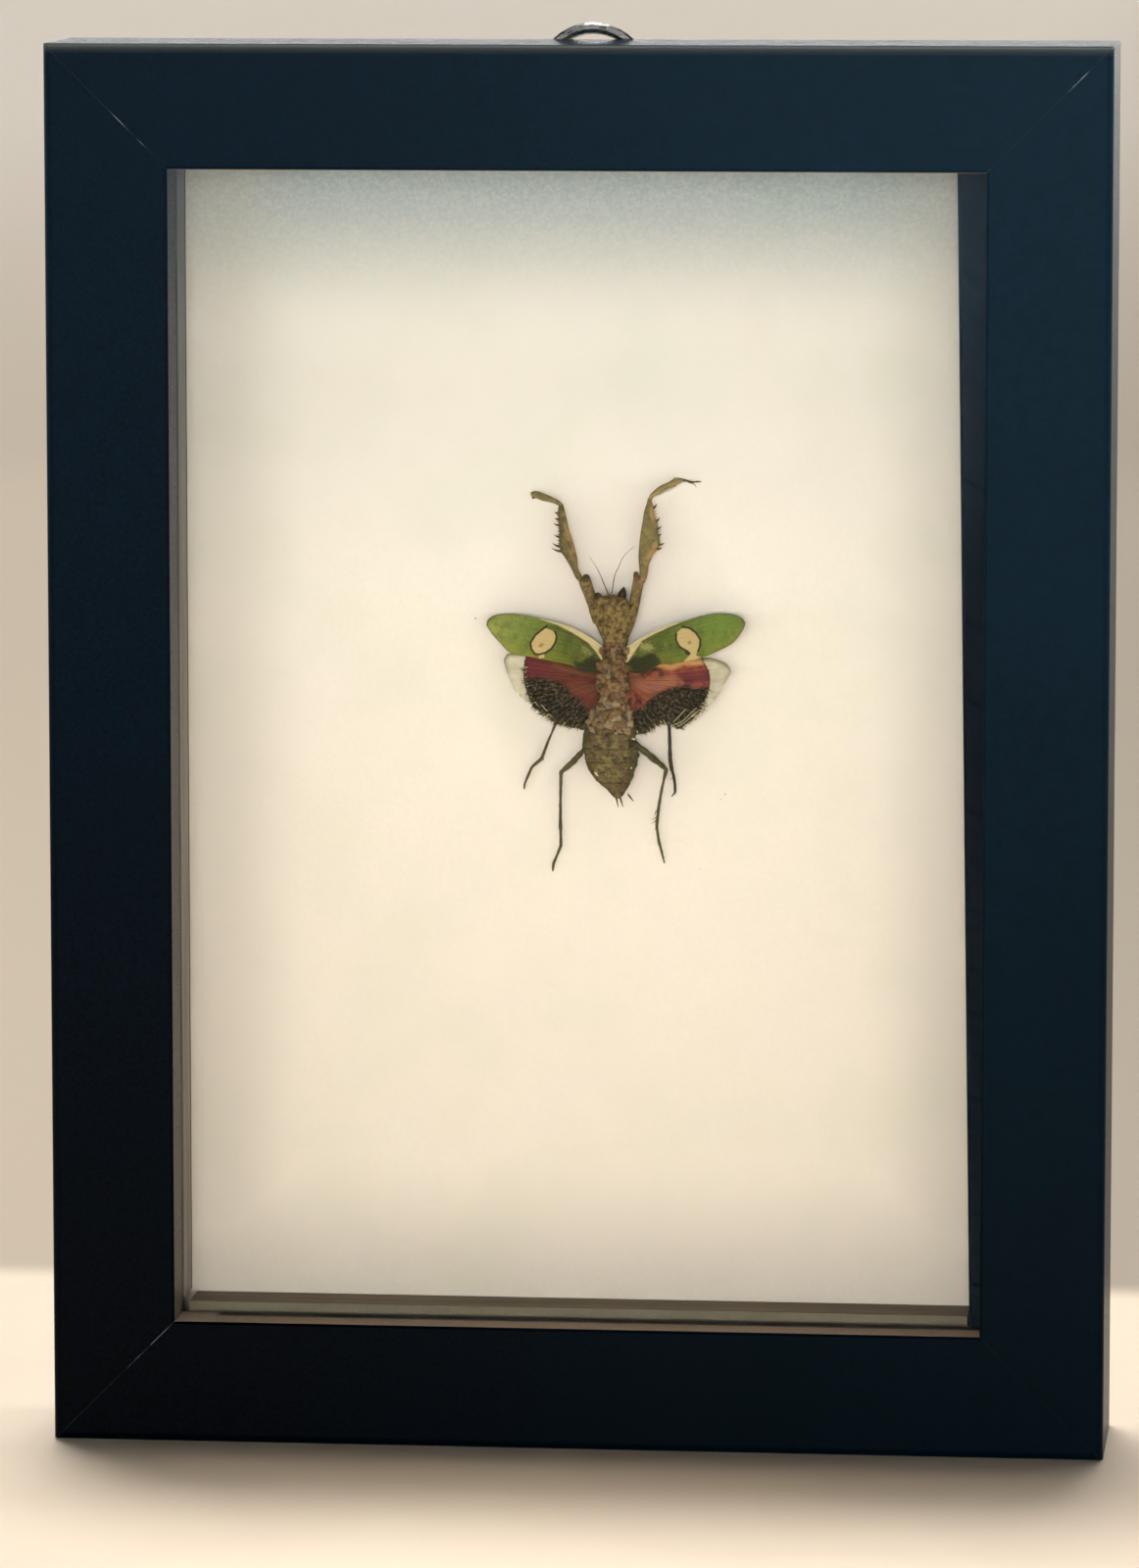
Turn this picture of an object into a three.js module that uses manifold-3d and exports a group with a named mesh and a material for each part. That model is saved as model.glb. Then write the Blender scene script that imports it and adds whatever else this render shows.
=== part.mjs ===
// A framed flower mantis: a black shadow-box frame standing upright, with a spread insect on a white board.
// Millimetres. X runs right, Y runs into the frame from its front, Z runs up from the foot of the frame.
import * as THREE from 'three';
import { mergeVertices } from 'three/addons/utils/BufferGeometryUtils.js';
import Module from 'manifold-3d';

const wasm = await Module();
wasm.setup();

// Frame
const frameWidth = 153;
const frameHeight = 203.2;
const frameDepth = 25.8;
const faceWidth = 17.9;
const lipDepth = 7.5;
const wallWidth = 12.6;
const edgeRadius = 1.2;
const mitreGap = 0.06;
const frontY = -frameDepth / 2;
const backY = frameDepth / 2;
const lipBackY = frontY + lipDepth;
const middleZ = frameHeight / 2;

// What lies in the rabbet, from the front to the back
const sheetWidth = 127;
const sheetHeight = 177.4;
const glassThickness = 2;
const spacerDepth = 8;
const boardThickness = 1.5;
const panelThickness = 3;
const boardFrontY = lipBackY + glassThickness + spacerDepth;

// Spacers. The right one has slipped and leans in at its top
const spacerThickness = 4.9;
const bottomSpacerThickness = 6.2;
const spacerInnerX = 58.6;
const bottomSpacerTopZ = 19.1;
const rightSpacerMiddleX = 57.75;
const rightSpacerLean = 0.92;
const spacerEndGap = 0.8;
const crossGap = 0.3;

// Thin metal points that hold the panel in
const pointLength = 15;
const pointWidth = 7;
const pointThickness = 0.5;
const pointWallGap = 0.3;
const pointHeights = [-55, 0, 55];

// Hanger at the middle of the top rail's back
const strapWidth = 8;
const strapThickness = 0.8;
const strapBottomZ = 190.8;
const knuckleZ = 195.9;
const knuckleInnerRadius = 1.05;
const knuckleOuterRadius = 1.75;
const ringWire = 0.85;
const ringHalfWidth = 7.45;
const ringTopHeight = 8.95;
const ringEndGap = 0.1;
const ringCornerRadius = 1.5;
const ringLean = 6;
const screwZ = 192.4;
const screwHeadRadius = 1.6;
const screwHeadHeight = 0.9;
const knuckleY = backY + knuckleOuterRadius;

// Specimen: how far each part stands off the board, and its thin places
const bodyLift = 2.15;
const forewingLift = 2.75;
const hindwingLift = 2.1;
const wingThickness = 0.3;
const forelegLift = 1.2;
const forelegThickness = 1;
const cutGap = 0.15;

function material(color, roughness, metalness = 0) {
  return new THREE.MeshStandardMaterial({ color, roughness, metalness });
}

const looks = {
  frame: () => material(0x07151d, 0.42),
  glass: () => material(0xe6eeec, 0.05),
  spacer: () => material(0x33363a, 0.85),
  board: () => material(0xf0e6d4, 0.8),
  panel: () => material(0x8a6a48, 0.85),
  steel: () => material(0xb9bbbd, 0.35, 1),
  body: () => material(0x6b5436, 0.75),
  forewing: () => material(0x66802f, 0.6),
  hindwing: () => material(0x5d2f33, 0.65),
  leg: () => material(0x5f5a2e, 0.7),
};

function namedMesh(name, geometry, look) {
  const mesh = new THREE.Mesh(geometry, look());
  mesh.name = name;
  return mesh;
}

// Plain solids for joins and cuts
function toSolid(geometry) {
  const bare = geometry.index ? geometry.toNonIndexed() : geometry.clone();
  bare.deleteAttribute('normal');
  bare.deleteAttribute('uv');
  const merged = mergeVertices(bare, 1e-4);
  return new wasm.Manifold(new wasm.Mesh({
    numProp: 3,
    vertProperties: new Float32Array(merged.attributes.position.array),
    triVerts: new Uint32Array(merged.index.array),
  }));
}

function toGeometry(solid) {
  const mesh = solid.getMesh();
  const geometry = new THREE.BufferGeometry();
  geometry.setAttribute('position', new THREE.BufferAttribute(mesh.vertProperties, 3));
  geometry.setIndex(new THREE.BufferAttribute(mesh.triVerts, 1));
  geometry.computeVertexNormals();
  return geometry;
}

function joined(solids) {
  return solids.reduce((whole, solid) => whole.add(solid));
}

function box(width, depth, height) {
  return new THREE.BoxGeometry(width, depth, height);
}

// One mitred rail lying along X with its outer edge at Z 0: an L section, its ends cut to 45 degrees
function railGeometry(length) {
  const section = new THREE.Shape();
  section.moveTo(edgeRadius, 0);
  section.lineTo(faceWidth - edgeRadius / 3, 0);
  section.lineTo(faceWidth, edgeRadius / 3);
  section.lineTo(faceWidth, lipDepth);
  section.lineTo(wallWidth, lipDepth);
  section.lineTo(wallWidth, frameDepth);
  section.lineTo(0, frameDepth);
  section.lineTo(0, edgeRadius);
  section.absarc(edgeRadius, edgeRadius, edgeRadius, Math.PI, Math.PI * 1.5, false);
  const geometry = new THREE.ExtrudeGeometry(section, { depth: 1, bevelEnabled: false, curveSegments: 6 });
  const points = geometry.attributes.position;
  for (let i = 0; i < points.count; i += 1) {
    const inset = points.getX(i);
    const depth = points.getY(i);
    const end = points.getZ(i) > 0.5 ? -1 : 1;
    points.setXYZ(i, end * (length / 2 - inset - mitreGap), frontY + depth, inset);
  }
  geometry.computeVertexNormals();
  return geometry;
}

function addRails(group) {
  const sides = [
    { name: 'rail_bottom', length: frameWidth, x: 0, z: 0, turn: 0 },
    { name: 'rail_right', length: frameHeight, x: frameWidth / 2, z: middleZ, turn: -90 },
    { name: 'rail_top', length: frameWidth, x: 0, z: frameHeight, turn: 180 },
    { name: 'rail_left', length: frameHeight, x: -frameWidth / 2, z: middleZ, turn: 90 },
  ];
  for (const side of sides) {
    const rail = namedMesh(side.name, railGeometry(side.length), looks.frame);
    rail.position.set(side.x, 0, side.z);
    rail.rotation.y = THREE.MathUtils.degToRad(side.turn);
    group.add(rail);
  }
}

function addSheet(group, name, look, frontFaceY, thickness) {
  const sheet = namedMesh(name, box(sheetWidth, thickness, sheetHeight), look);
  sheet.position.set(0, frontFaceY + thickness / 2, middleZ);
  group.add(sheet);
}

function addSpacer(group, name, width, height, x, z, lean = 0) {
  const spacer = namedMesh(name, box(width, spacerDepth, height), looks.spacer);
  spacer.position.set(x, lipBackY + glassThickness + spacerDepth / 2, z);
  spacer.rotation.y = THREE.MathUtils.degToRad(lean);
  group.add(spacer);
}

// The inner edge of the leaning right spacer at a height
function rightSpacerEdgeX(z) {
  const lean = Math.tan(THREE.MathUtils.degToRad(rightSpacerLean));
  return rightSpacerMiddleX - spacerThickness / 2 - (z - middleZ) * lean;
}

// The side spacers stand beside the top and bottom ones. The left one stops short of the bottom one's level
function addSpacers(group) {
  const topZ = middleZ + sheetHeight / 2;
  const endZ = topZ - spacerEndGap;
  const leftX = -spacerInnerX - spacerThickness / 2;
  const leftFootZ = bottomSpacerTopZ + spacerEndGap / 2;
  addSpacer(group, 'spacer_left', spacerThickness, endZ - leftFootZ, leftX, (endZ + leftFootZ) / 2);
  const rightHeight = sheetHeight - 2 * spacerEndGap;
  addSpacer(group, 'spacer_right', spacerThickness, rightHeight, rightSpacerMiddleX, middleZ,
    -rightSpacerLean);
  const crossPieces = [
    { name: 'spacer_bottom', thickness: bottomSpacerThickness, top: bottomSpacerTopZ },
    { name: 'spacer_top', thickness: spacerThickness, top: topZ },
  ];
  for (const { name, thickness, top } of crossPieces) {
    const left = -spacerInnerX + spacerEndGap;
    const right = rightSpacerEdgeX(top) - crossGap;
    addSpacer(group, name, right - left, thickness, (right + left) / 2, top - thickness / 2);
  }
}

// Points lie on the back panel with one end just short of the wall of the rabbet
function addRetainingPoints(group) {
  const wallX = frameWidth / 2 - wallWidth;
  const panelBackY = boardFrontY + boardThickness + panelThickness;
  let number = 1;
  for (const side of [-1, 1]) {
    for (const height of pointHeights) {
      const plate = box(pointLength, pointThickness, pointWidth);
      const point = namedMesh(`retaining_point_${number}`, plate, looks.steel);
      point.position.set(side * (wallX - pointWallGap - pointLength / 2), panelBackY + pointThickness / 2,
        middleZ + height);
      group.add(point);
      number += 1;
    }
  }
}

// The strap is a plate on the rail with a knuckle rolled at its top for the ring's bar
function hangerStrap() {
  const plate = box(strapWidth, strapThickness, knuckleZ - strapBottomZ);
  plate.translate(0, backY + strapThickness / 2, (knuckleZ + strapBottomZ) / 2);
  const outer = new THREE.CylinderGeometry(knuckleOuterRadius, knuckleOuterRadius, strapWidth, 24);
  const inner = new THREE.CylinderGeometry(knuckleInnerRadius, knuckleInnerRadius, strapWidth + 2, 24);
  for (const tube of [outer, inner]) {
    tube.rotateZ(Math.PI / 2);
    tube.translate(0, knuckleY, knuckleZ);
  }
  return toGeometry(toSolid(plate).add(toSolid(outer)).subtract(toSolid(inner)));
}

// A pan head with a cross cut into it
function screwHead() {
  const profile = [
    new THREE.Vector2(0, 0),
    new THREE.Vector2(screwHeadRadius, 0),
    new THREE.Vector2(screwHeadRadius, screwHeadHeight * 0.35),
    new THREE.Vector2(screwHeadRadius * 0.7, screwHeadHeight * 0.85),
    new THREE.Vector2(0, screwHeadHeight),
  ];
  let head = toSolid(new THREE.LatheGeometry(profile, 20));
  for (const turn of [0, Math.PI / 2]) {
    const slot = box(screwHeadRadius * 1.1, screwHeadHeight, 0.4);
    slot.translate(0, screwHeadHeight, 0);
    slot.rotateY(turn);
    head = head.subtract(toSolid(slot));
  }
  return toGeometry(head);
}

// A D-shaped wire: its bar lies on the X axis inside the knuckle, where the wire's two ends meet
function ringGeometry() {
  const corner = ringCornerRadius;
  const barEnd = ringHalfWidth - corner;
  const point = (x, z) => new THREE.Vector3(x, 0, z);
  const arc = [];
  const arcSteps = 16;
  for (let i = 0; i <= arcSteps; i += 1) {
    const angle = (Math.PI * i) / arcSteps;
    arc.push(point(ringHalfWidth * Math.cos(angle), corner + (ringTopHeight - corner) * Math.sin(angle)));
  }
  const path = new THREE.CurvePath();
  const addCorner = (...bend) => path.add(new THREE.QuadraticBezierCurve3(...bend));
  path.add(new THREE.LineCurve3(point(ringEndGap, 0), point(barEnd, 0)));
  addCorner(point(barEnd, 0), point(ringHalfWidth, 0), point(ringHalfWidth, corner));
  path.add(new THREE.CatmullRomCurve3(arc));
  addCorner(point(-ringHalfWidth, corner), point(-ringHalfWidth, 0), point(-barEnd, 0));
  path.add(new THREE.LineCurve3(point(-barEnd, 0), point(-ringEndGap, 0)));
  const section = new THREE.Shape().absarc(0, 0, ringWire, 0, Math.PI * 2);
  const wire = { extrudePath: path, steps: 36, curveSegments: 4, bevelEnabled: false };
  return new THREE.ExtrudeGeometry(section, wire);
}

// A straight piece of wire or limb between two points, with a ball of its own radius at its start
function rod(start, end, startRadius, endRadius, sides) {
  const length = start.distanceTo(end);
  const shaft = new THREE.CylinderGeometry(endRadius, startRadius, length, sides);
  shaft.translate(0, length / 2, 0);
  const direction = end.clone().sub(start).normalize();
  const turn = new THREE.Quaternion().setFromUnitVectors(new THREE.Vector3(0, 1, 0), direction);
  shaft.applyQuaternion(turn);
  shaft.translate(start.x, start.y, start.z);
  const ball = new THREE.SphereGeometry(startRadius, sides, Math.ceil(sides / 2));
  ball.rotateY(0.3);
  ball.applyQuaternion(turn);
  ball.translate(start.x, start.y, start.z);
  return toSolid(shaft).add(toSolid(ball));
}

function addHanger(group) {
  group.add(namedMesh('hanger_strap', hangerStrap(), looks.steel));
  const screw = namedMesh('hanger_screw', screwHead(), looks.steel);
  screw.position.set(0, backY + strapThickness, screwZ);
  group.add(screw);
  const ring = namedMesh('hanger_ring', ringGeometry(), looks.steel);
  ring.position.set(0, knuckleY, knuckleZ);
  ring.rotation.x = THREE.MathUtils.degToRad(ringLean);
  group.add(ring);
}

// Places in the specimen: x across the frame, up from its middle, and lift off the board
function at(x, up, lift) {
  return new THREE.Vector3(x, -lift, up);
}

// A limb through its joints, each joint being x, up, lift and radius
function limb(joints, sides = 6) {
  const rods = [];
  for (let i = 0; i + 1 < joints.length; i += 1) {
    const [x, up, lift, radius] = joints[i];
    const [nextX, nextUp, nextLift, nextRadius] = joints[i + 1];
    rods.push(rod(at(x, up, lift), at(nextX, nextUp, nextLift), radius, nextRadius, sides));
  }
  return joined(rods);
}

// A body part turned round the line of the body from rows of x, up and half width, rising up the body.
// It is flattened front to back, and grow makes it larger all round
function lobe(rows, flatness, grow) {
  const profile = rows.map(([, up, half]) => new THREE.Vector2(half + grow, up));
  profile.unshift(new THREE.Vector2(0, rows[0][1] - grow));
  profile.push(new THREE.Vector2(0, rows[rows.length - 1][1] + grow));
  const geometry = new THREE.LatheGeometry(profile, 16);
  geometry.rotateX(Math.PI / 2);
  geometry.scale(1, flatness, 1);
  const points = geometry.attributes.position;
  for (let i = 0; i < points.count; i += 1) {
    const up = points.getZ(i);
    points.setX(i, points.getX(i) + lineAt(rows, up));
  }
  geometry.translate(0, -bodyLift, 0);
  return toSolid(geometry);
}

// The x of the body's middle line at a height, between the two nearest rows
function lineAt(rows, up) {
  for (let i = 0; i + 1 < rows.length; i += 1) {
    const [x, low] = rows[i];
    const [nextX, high] = rows[i + 1];
    if (up <= high) {
      return x + ((nextX - x) * Math.max(0, up - low)) / (high - low);
    }
  }
  return rows[rows.length - 1][0];
}

// The insect's body, from the tip of the abdomen up to the head
const abdomenRows = [
  [4.75, -8.1, 0.35], [4.7, -7.5, 0.95], [4.6, -7, 1.3], [4.3, -6, 2.1], [4.05, -5, 2.8],
  [3.9, -3.6, 3.4], [3.8, -2, 3.85], [3.75, -0.5, 3.95], [3.7, 1, 3.8], [3.8, 2.7, 3.45],
  [3.95, 4.3, 2.9], [4.1, 5.6, 2.3], [4.2, 6.8, 1.6],
];
const thoraxRows = [
  [4.2, 6, 1.8], [4.25, 7.5, 2.1], [4.3, 9.5, 2.15], [4.3, 11.5, 2.05], [4.4, 13.2, 1.7],
  [4.45, 14.6, 1.1],
];
const prothoraxRows = [
  [4.45, 14.1, 1], [4.4, 15.5, 1.35], [4.2, 17, 1.7], [4, 18.5, 2.1], [3.85, 19.7, 2.2], [3.7, 20.6, 1.8],
  [3.65, 21.2, 1.1],
];
const abdomenFlatness = 0.45;
const thoraxFlatness = 0.82;

function ellipsoid(x, up, lift, halfX, halfUp, halfDepth, grow) {
  const ball = new THREE.SphereGeometry(1, 12, 8);
  ball.scale(halfX + grow, halfDepth + grow, halfUp + grow);
  const centre = at(x, up, lift);
  ball.translate(centre.x, centre.y, centre.z);
  return toSolid(ball);
}

function bodySolid(grow = 0) {
  const head = ellipsoid(3.7, 21, bodyLift, 2.1, 0.95, 0.9, grow);
  const leftEye = ellipsoid(1.75, 21.5, bodyLift, 0.75, 0.8, 0.75, grow);
  const rightEye = limb([[5.45, 21.5, bodyLift, 0.7 + grow], [5.62, 22.9, bodyLift, 0.18 + grow]], 8);
  const parts = [
    lobe(abdomenRows, abdomenFlatness, grow), lobe(thoraxRows, thoraxFlatness, grow),
    lobe(prothoraxRows, thoraxFlatness, grow), head, leftEye, rightEye,
  ];
  return joined(parts);
}

function mantisBody() {
  const cerci = [
    limb([[4.4, -7.6, bodyLift, 0.2], [4.8, -9.4, bodyLift, 0.07]], 6),
    limb([[4.95, -7.6, bodyLift, 0.2], [5.45, -9.3, bodyLift, 0.07]], 6),
  ];
  const antennae = [
    limb([[3.3, 21.6, bodyLift, 0.12], [2.2, 24.6, bodyLift, 0.1], [1.4, 25.9, bodyLift, 0.07]], 4),
    limb([[3.9, 21.6, bodyLift, 0.12], [4.3, 24.5, bodyLift, 0.1], [4.9, 25.8, bodyLift, 0.1],
      [5.4, 27, bodyLift, 0.09], [6.2, 28, bodyLift, 0.08], [7.2, 28.8, bodyLift, 0.06]], 4),
  ];
  return joined([bodySolid(), ...cerci, ...antennae]);
}

// A wing is a thin sheet through its outline, from its root inside the body to its tip and back
const forewingLeftOutline = [
  [3.2, 12.6], [2.7, 14.1], [1, 15.4], [-1, 16.55], [-3, 17.35], [-6, 18.1], [-9, 18.7], [-11, 18.85],
  [-13, 18.65], [-14.1, 18], [-14.3, 17.2], [-13.5, 15.8], [-12.4, 14.6], [-10.8, 13.1], [-8, 12.6],
  [-5, 12], [-2, 11.4], [-1, 10.8], [0, 10.45], [1.5, 10.4], [2.8, 11],
];
const forewingRightOutline = [
  [5.4, 12.4], [5.8, 13.8], [7, 14.8], [9, 15.9], [11, 16.9], [13, 17.7], [15, 18.25], [17, 18.85],
  [19, 19.2], [21, 19.2], [22.6, 18.75], [23.3, 17.8], [22.8, 16.5], [21.5, 14.9], [19.5, 13.8],
  [17, 12.7], [14, 12], [11, 11.7], [10, 11], [8.5, 10.4], [7, 10.4], [5.9, 10.9],
];
const hindwingLeftOutline = [
  [3.2, 10.5], [0, 12], [-4, 12.6], [-8, 13], [-11, 13], [-11.9, 12], [-11.6, 10.5], [-10.8, 8.6],
  [-9.9, 7.1], [-8.8, 5.9], [-7.6, 5.4], [-6.4, 4.2], [-4.8, 3], [-3.2, 2.5], [-1.2, 2], [0.3, 1.7],
  [1.3, 3], [2.8, 6],
];
const hindwingRightOutline = [
  [5.4, 10.5], [8, 11.8], [12, 12.3], [15, 12.4], [18.2, 12.6], [20.2, 12], [21.2, 10.8], [20.6, 9.5],
  [19.8, 7.8], [18.8, 6.3], [17.4, 5.1], [16.3, 4.2], [15, 3.1], [13.4, 2.1], [12.6, 2.7], [11.4, 2.85],
  [10, 2.3], [9.2, 1.7], [7.8, 1.6], [6.6, 2], [6, 3.2], [5.6, 6],
];

function sheetOf(outline, lift, thickness, smooth = true) {
  const points = outline.map(([x, up]) => new THREE.Vector2(x, up));
  const shape = new THREE.Shape();
  shape.moveTo(points[0].x, points[0].y);
  if (smooth) {
    shape.splineThru([...points.slice(1), points[0]]);
  } else {
    points.slice(1).forEach((point) => shape.lineTo(point.x, point.y));
  }
  const form = { depth: thickness, bevelEnabled: false, curveSegments: 3 };
  const sheet = new THREE.ExtrudeGeometry(shape, form);
  sheet.rotateX(Math.PI / 2);
  sheet.translate(0, -lift, 0);
  return toSolid(sheet);
}

// Raptorial front legs: a round coxa, then a flat femur and tibia whose outline carries the spines
const forelegLeftOutline = [
  [-0.9, 23.6], [-1.5, 24.1], [-2, 25.2], [-2.5, 26.2], [-3, 27], [-3.6, 27.6], [-5, 28.4], [-3.85, 28.3],
  [-3.95, 28.8], [-4.75, 29.1], [-3.9, 29.3], [-4.2, 29.6], [-3.85, 29.9], [-3.85, 30.2], [-4.6, 30.35],
  [-3.85, 30.6], [-3.95, 31.6], [-4.6, 31.9], [-4, 32.2], [-4, 32.5], [-4.45, 32.7], [-4.05, 33],
  [-4.1, 33.3], [-4.45, 33.6], [-4.05, 33.9], [-4, 34.4], [-4.9, 35], [-6.2, 35.2], [-7.6, 35.7],
  [-8, 36], [-8, 36.4], [-7.5, 36.65], [-6.2, 36.3], [-4.6, 35.6], [-3.6, 35], [-3.1, 34.1], [-2.7, 32.6],
  [-2.35, 30.8], [-1.9, 29.5], [-1.5, 28], [-1.2, 26.7], [-1.15, 25.5], [-0.6, 24.5], [-0.2, 23.6],
];
const forelegRightOutline = [
  [7.6, 23.6], [7.85, 25.2], [7.7, 26.6], [7.75, 28.6], [7.9, 30], [8.1, 31.4], [8.3, 32.5], [8.5, 33.8],
  [8.9, 34.9], [9.1, 36], [9.7, 36.6], [10.3, 37.2], [11, 37.6], [12, 38.1], [12.8, 38.65], [13.5, 38.75],
  [14.4, 38.6], [15.2, 38.25], [16.7, 38.3], [16.7, 38.1], [15.6, 38.05], [16, 37.3], [15.3, 37.95],
  [14.2, 38.2], [13.6, 37.9], [13, 37.6], [12, 37.15], [11, 36.6], [10.2, 36.1], [9.65, 35.7], [9.6, 35],
  [10.3, 34.9], [9.85, 34.4], [9.95, 33.6], [10, 33.1], [10.7, 32.9], [10.3, 32.3], [10.45, 31.9],
  [10.95, 31.7], [10.5, 31.2], [10.6, 30.4], [10.7, 29.7], [11.4, 29.3], [10.8, 28.8], [10.4, 28.2],
  [9.8, 27.5], [9.5, 26.8], [9.2, 26.1], [9.1, 25.2], [8.6, 23.6],
];
const coxaLeftJoints = [
  [2.6, 15.4, 1.6, 0.7], [1.6, 18, 1.6, 0.95], [0.5, 21.3, 1.7, 0.85], [-0.4, 23.6, 1.7, 0.6],
];
const coxaRightJoints = [
  [5.9, 15.7, 1.6, 0.55], [6.5, 18.3, 1.6, 0.8], [7.3, 21.5, 1.7, 0.85], [7.9, 24.1, 1.7, 0.6],
];

function foreleg(coxaJoints, outline) {
  return limb(coxaJoints, 8).add(sheetOf(outline, forelegLift, forelegThickness, false));
}

// Walking legs: x, up, lift and radius at each joint, from the body to the claw
const walkingLegs = {
  middle_leg_left: [
    [2.4, 8.4, 1.2, 0.3], [-1.5, 6, 1, 0.28], [-4.5, 2.6, 0.9, 0.24], [-5.6, 0, 0.9, 0.22],
    [-6.6, -2.6, 0.8, 0.2], [-8, -3.8, 0.7, 0.2], [-8.8, -5.8, 0.6, 0.18], [-9.1, -7.1, 0.5, 0.12],
  ],
  middle_leg_right: [
    [6.2, 8.4, 1.2, 0.3], [9, 6, 1, 0.28], [12, 3.4, 0.9, 0.25], [12.2, 0, 0.9, 0.22],
    [12.25, -2.5, 0.8, 0.22], [12.8, -5, 0.7, 0.2], [12.95, -7.4, 0.6, 0.15], [12.45, -7.9, 0.5, 0.08],
  ],
  hind_leg_left: [
    [0.3, 2.4, 1.3, 0.3], [-0.15, 1, 1, 0.28], [-0.35, -1.1, 0.95, 0.3], [-1.9, -2.9, 0.95, 0.45],
    [-3.7, -4.5, 0.9, 0.25], [-3.8, -8.5, 0.8, 0.2], [-3.8, -12.2, 0.8, 0.24], [-3.75, -15.3, 0.7, 0.2],
    [-4.9, -18.3, 0.6, 0.16], [-4.95, -19.1, 0.5, 0.12],
  ],
  hind_leg_right: [
    [6.9, 0.3, 2.4, 0.4], [7.9, -0.6, 2, 0.4], [10, -2.4, 1.4, 0.5], [11.7, -3.8, 1.1, 0.3],
    [11.3, -5.6, 1, 0.2], [10.6, -9.4, 0.9, 0.2], [10.3, -12.2, 0.8, 0.22], [10.6, -14.5, 0.7, 0.18],
    [11.4, -17.7, 0.5, 0.12],
  ],
};

// The insect in its own group: X across, Z up from the middle of the frame, -Y off the board
function mantis() {
  const group = new THREE.Group();
  group.position.set(0, boardFrontY, middleZ);
  const cutter = bodySolid(cutGap);
  const addPart = (name, solid, look) => group.add(namedMesh(name, toGeometry(solid), look));
  const wing = (outline, lift) => sheetOf(outline, lift, wingThickness).subtract(cutter);
  addPart('mantis_body', mantisBody(), looks.body);
  addPart('forewing_left', wing(forewingLeftOutline, forewingLift), looks.forewing);
  addPart('forewing_right', wing(forewingRightOutline, forewingLift), looks.forewing);
  addPart('hindwing_left', wing(hindwingLeftOutline, hindwingLift), looks.hindwing);
  addPart('hindwing_right', wing(hindwingRightOutline, hindwingLift), looks.hindwing);
  addPart('foreleg_left', foreleg(coxaLeftJoints, forelegLeftOutline).subtract(cutter), looks.leg);
  addPart('foreleg_right', foreleg(coxaRightJoints, forelegRightOutline).subtract(cutter), looks.leg);
  for (const [name, joints] of Object.entries(walkingLegs)) {
    addPart(name, limb(joints).subtract(cutter), looks.leg);
  }
  return group;
}

const framedMantis = new THREE.Group();
addRails(framedMantis);
addSheet(framedMantis, 'glass_pane', looks.glass, lipBackY, glassThickness);
addSpacers(framedMantis);
addSheet(framedMantis, 'backing_board', looks.board, boardFrontY, boardThickness);
addSheet(framedMantis, 'back_panel', looks.panel, boardFrontY + boardThickness, panelThickness);
addRetainingPoints(framedMantis);
addHanger(framedMantis);
framedMantis.add(mantis());

export default framedMantis;
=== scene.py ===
import math
import random

import bpy
import numpy as np
from mathutils import Matrix, Vector, noise


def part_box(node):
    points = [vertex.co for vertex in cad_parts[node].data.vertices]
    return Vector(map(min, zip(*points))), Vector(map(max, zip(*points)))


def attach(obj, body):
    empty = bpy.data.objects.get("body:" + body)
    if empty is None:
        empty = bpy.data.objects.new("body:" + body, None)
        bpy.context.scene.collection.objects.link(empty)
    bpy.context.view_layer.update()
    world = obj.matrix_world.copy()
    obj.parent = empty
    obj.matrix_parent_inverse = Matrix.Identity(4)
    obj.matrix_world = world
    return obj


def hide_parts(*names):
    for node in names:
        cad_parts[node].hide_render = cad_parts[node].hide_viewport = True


# A framed flower mantis: the black shadow-box frame is the model's own, the insect on the board is made here.
# Places on the board are in millimetres: x across, up from the middle of the board, and lift off the board.

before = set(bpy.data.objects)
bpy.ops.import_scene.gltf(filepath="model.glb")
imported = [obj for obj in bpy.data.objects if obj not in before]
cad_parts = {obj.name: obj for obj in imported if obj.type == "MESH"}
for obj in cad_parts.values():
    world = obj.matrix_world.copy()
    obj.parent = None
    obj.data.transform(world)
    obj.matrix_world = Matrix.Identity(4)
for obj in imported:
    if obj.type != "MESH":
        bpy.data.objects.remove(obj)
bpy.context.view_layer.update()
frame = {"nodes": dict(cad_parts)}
nodes = frame["nodes"]

MM = 0.001
BOARD_LOW, BOARD_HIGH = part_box("backing_board")
MIDDLE_Z = (BOARD_LOW.z + BOARD_HIGH.z) / 2
FRAME_LOW, FRAME_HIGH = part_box("rail_bottom")[0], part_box("rail_top")[1]
FACE_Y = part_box("rail_top")[0].y
HALF_WIDTH = FRAME_HIGH.x / MM
HALF_HEIGHT = (FRAME_HIGH.z - MIDDLE_Z) / MM
LIP_WIDTH = (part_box("rail_bottom")[1].z - FRAME_LOW.z) / MM


def add_object(name, data):
    thing = bpy.data.objects.new(name, data)
    bpy.context.scene.collection.objects.link(thing)
    return thing


# Camera, solved from the corners of the frame in the photograph

CAMERA_PLACE = Vector((0.11595, -1.13406, 0.24009))
CAMERA_RIGHT = Vector((0.99463, 0.10348, -0.00024))
CAMERA_DOWN = Vector((0.01275, -0.12485, -0.99209))
CAMERA_FORWARD = Vector((-0.10269, 0.98676, -0.1255))
CAMERA_LENS = 181.65


def add_camera():
    data = bpy.data.cameras.new("camera")
    data.lens = CAMERA_LENS
    data.sensor_width = 36
    camera = add_object("camera", data)
    turn = Matrix((CAMERA_RIGHT, -CAMERA_DOWN, -CAMERA_FORWARD)).transposed().to_4x4()
    camera.matrix_world = Matrix.Translation(CAMERA_PLACE) @ turn
    bpy.context.scene.camera = camera


# Materials. Colours are given as they look on screen, 0 to 255

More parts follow.
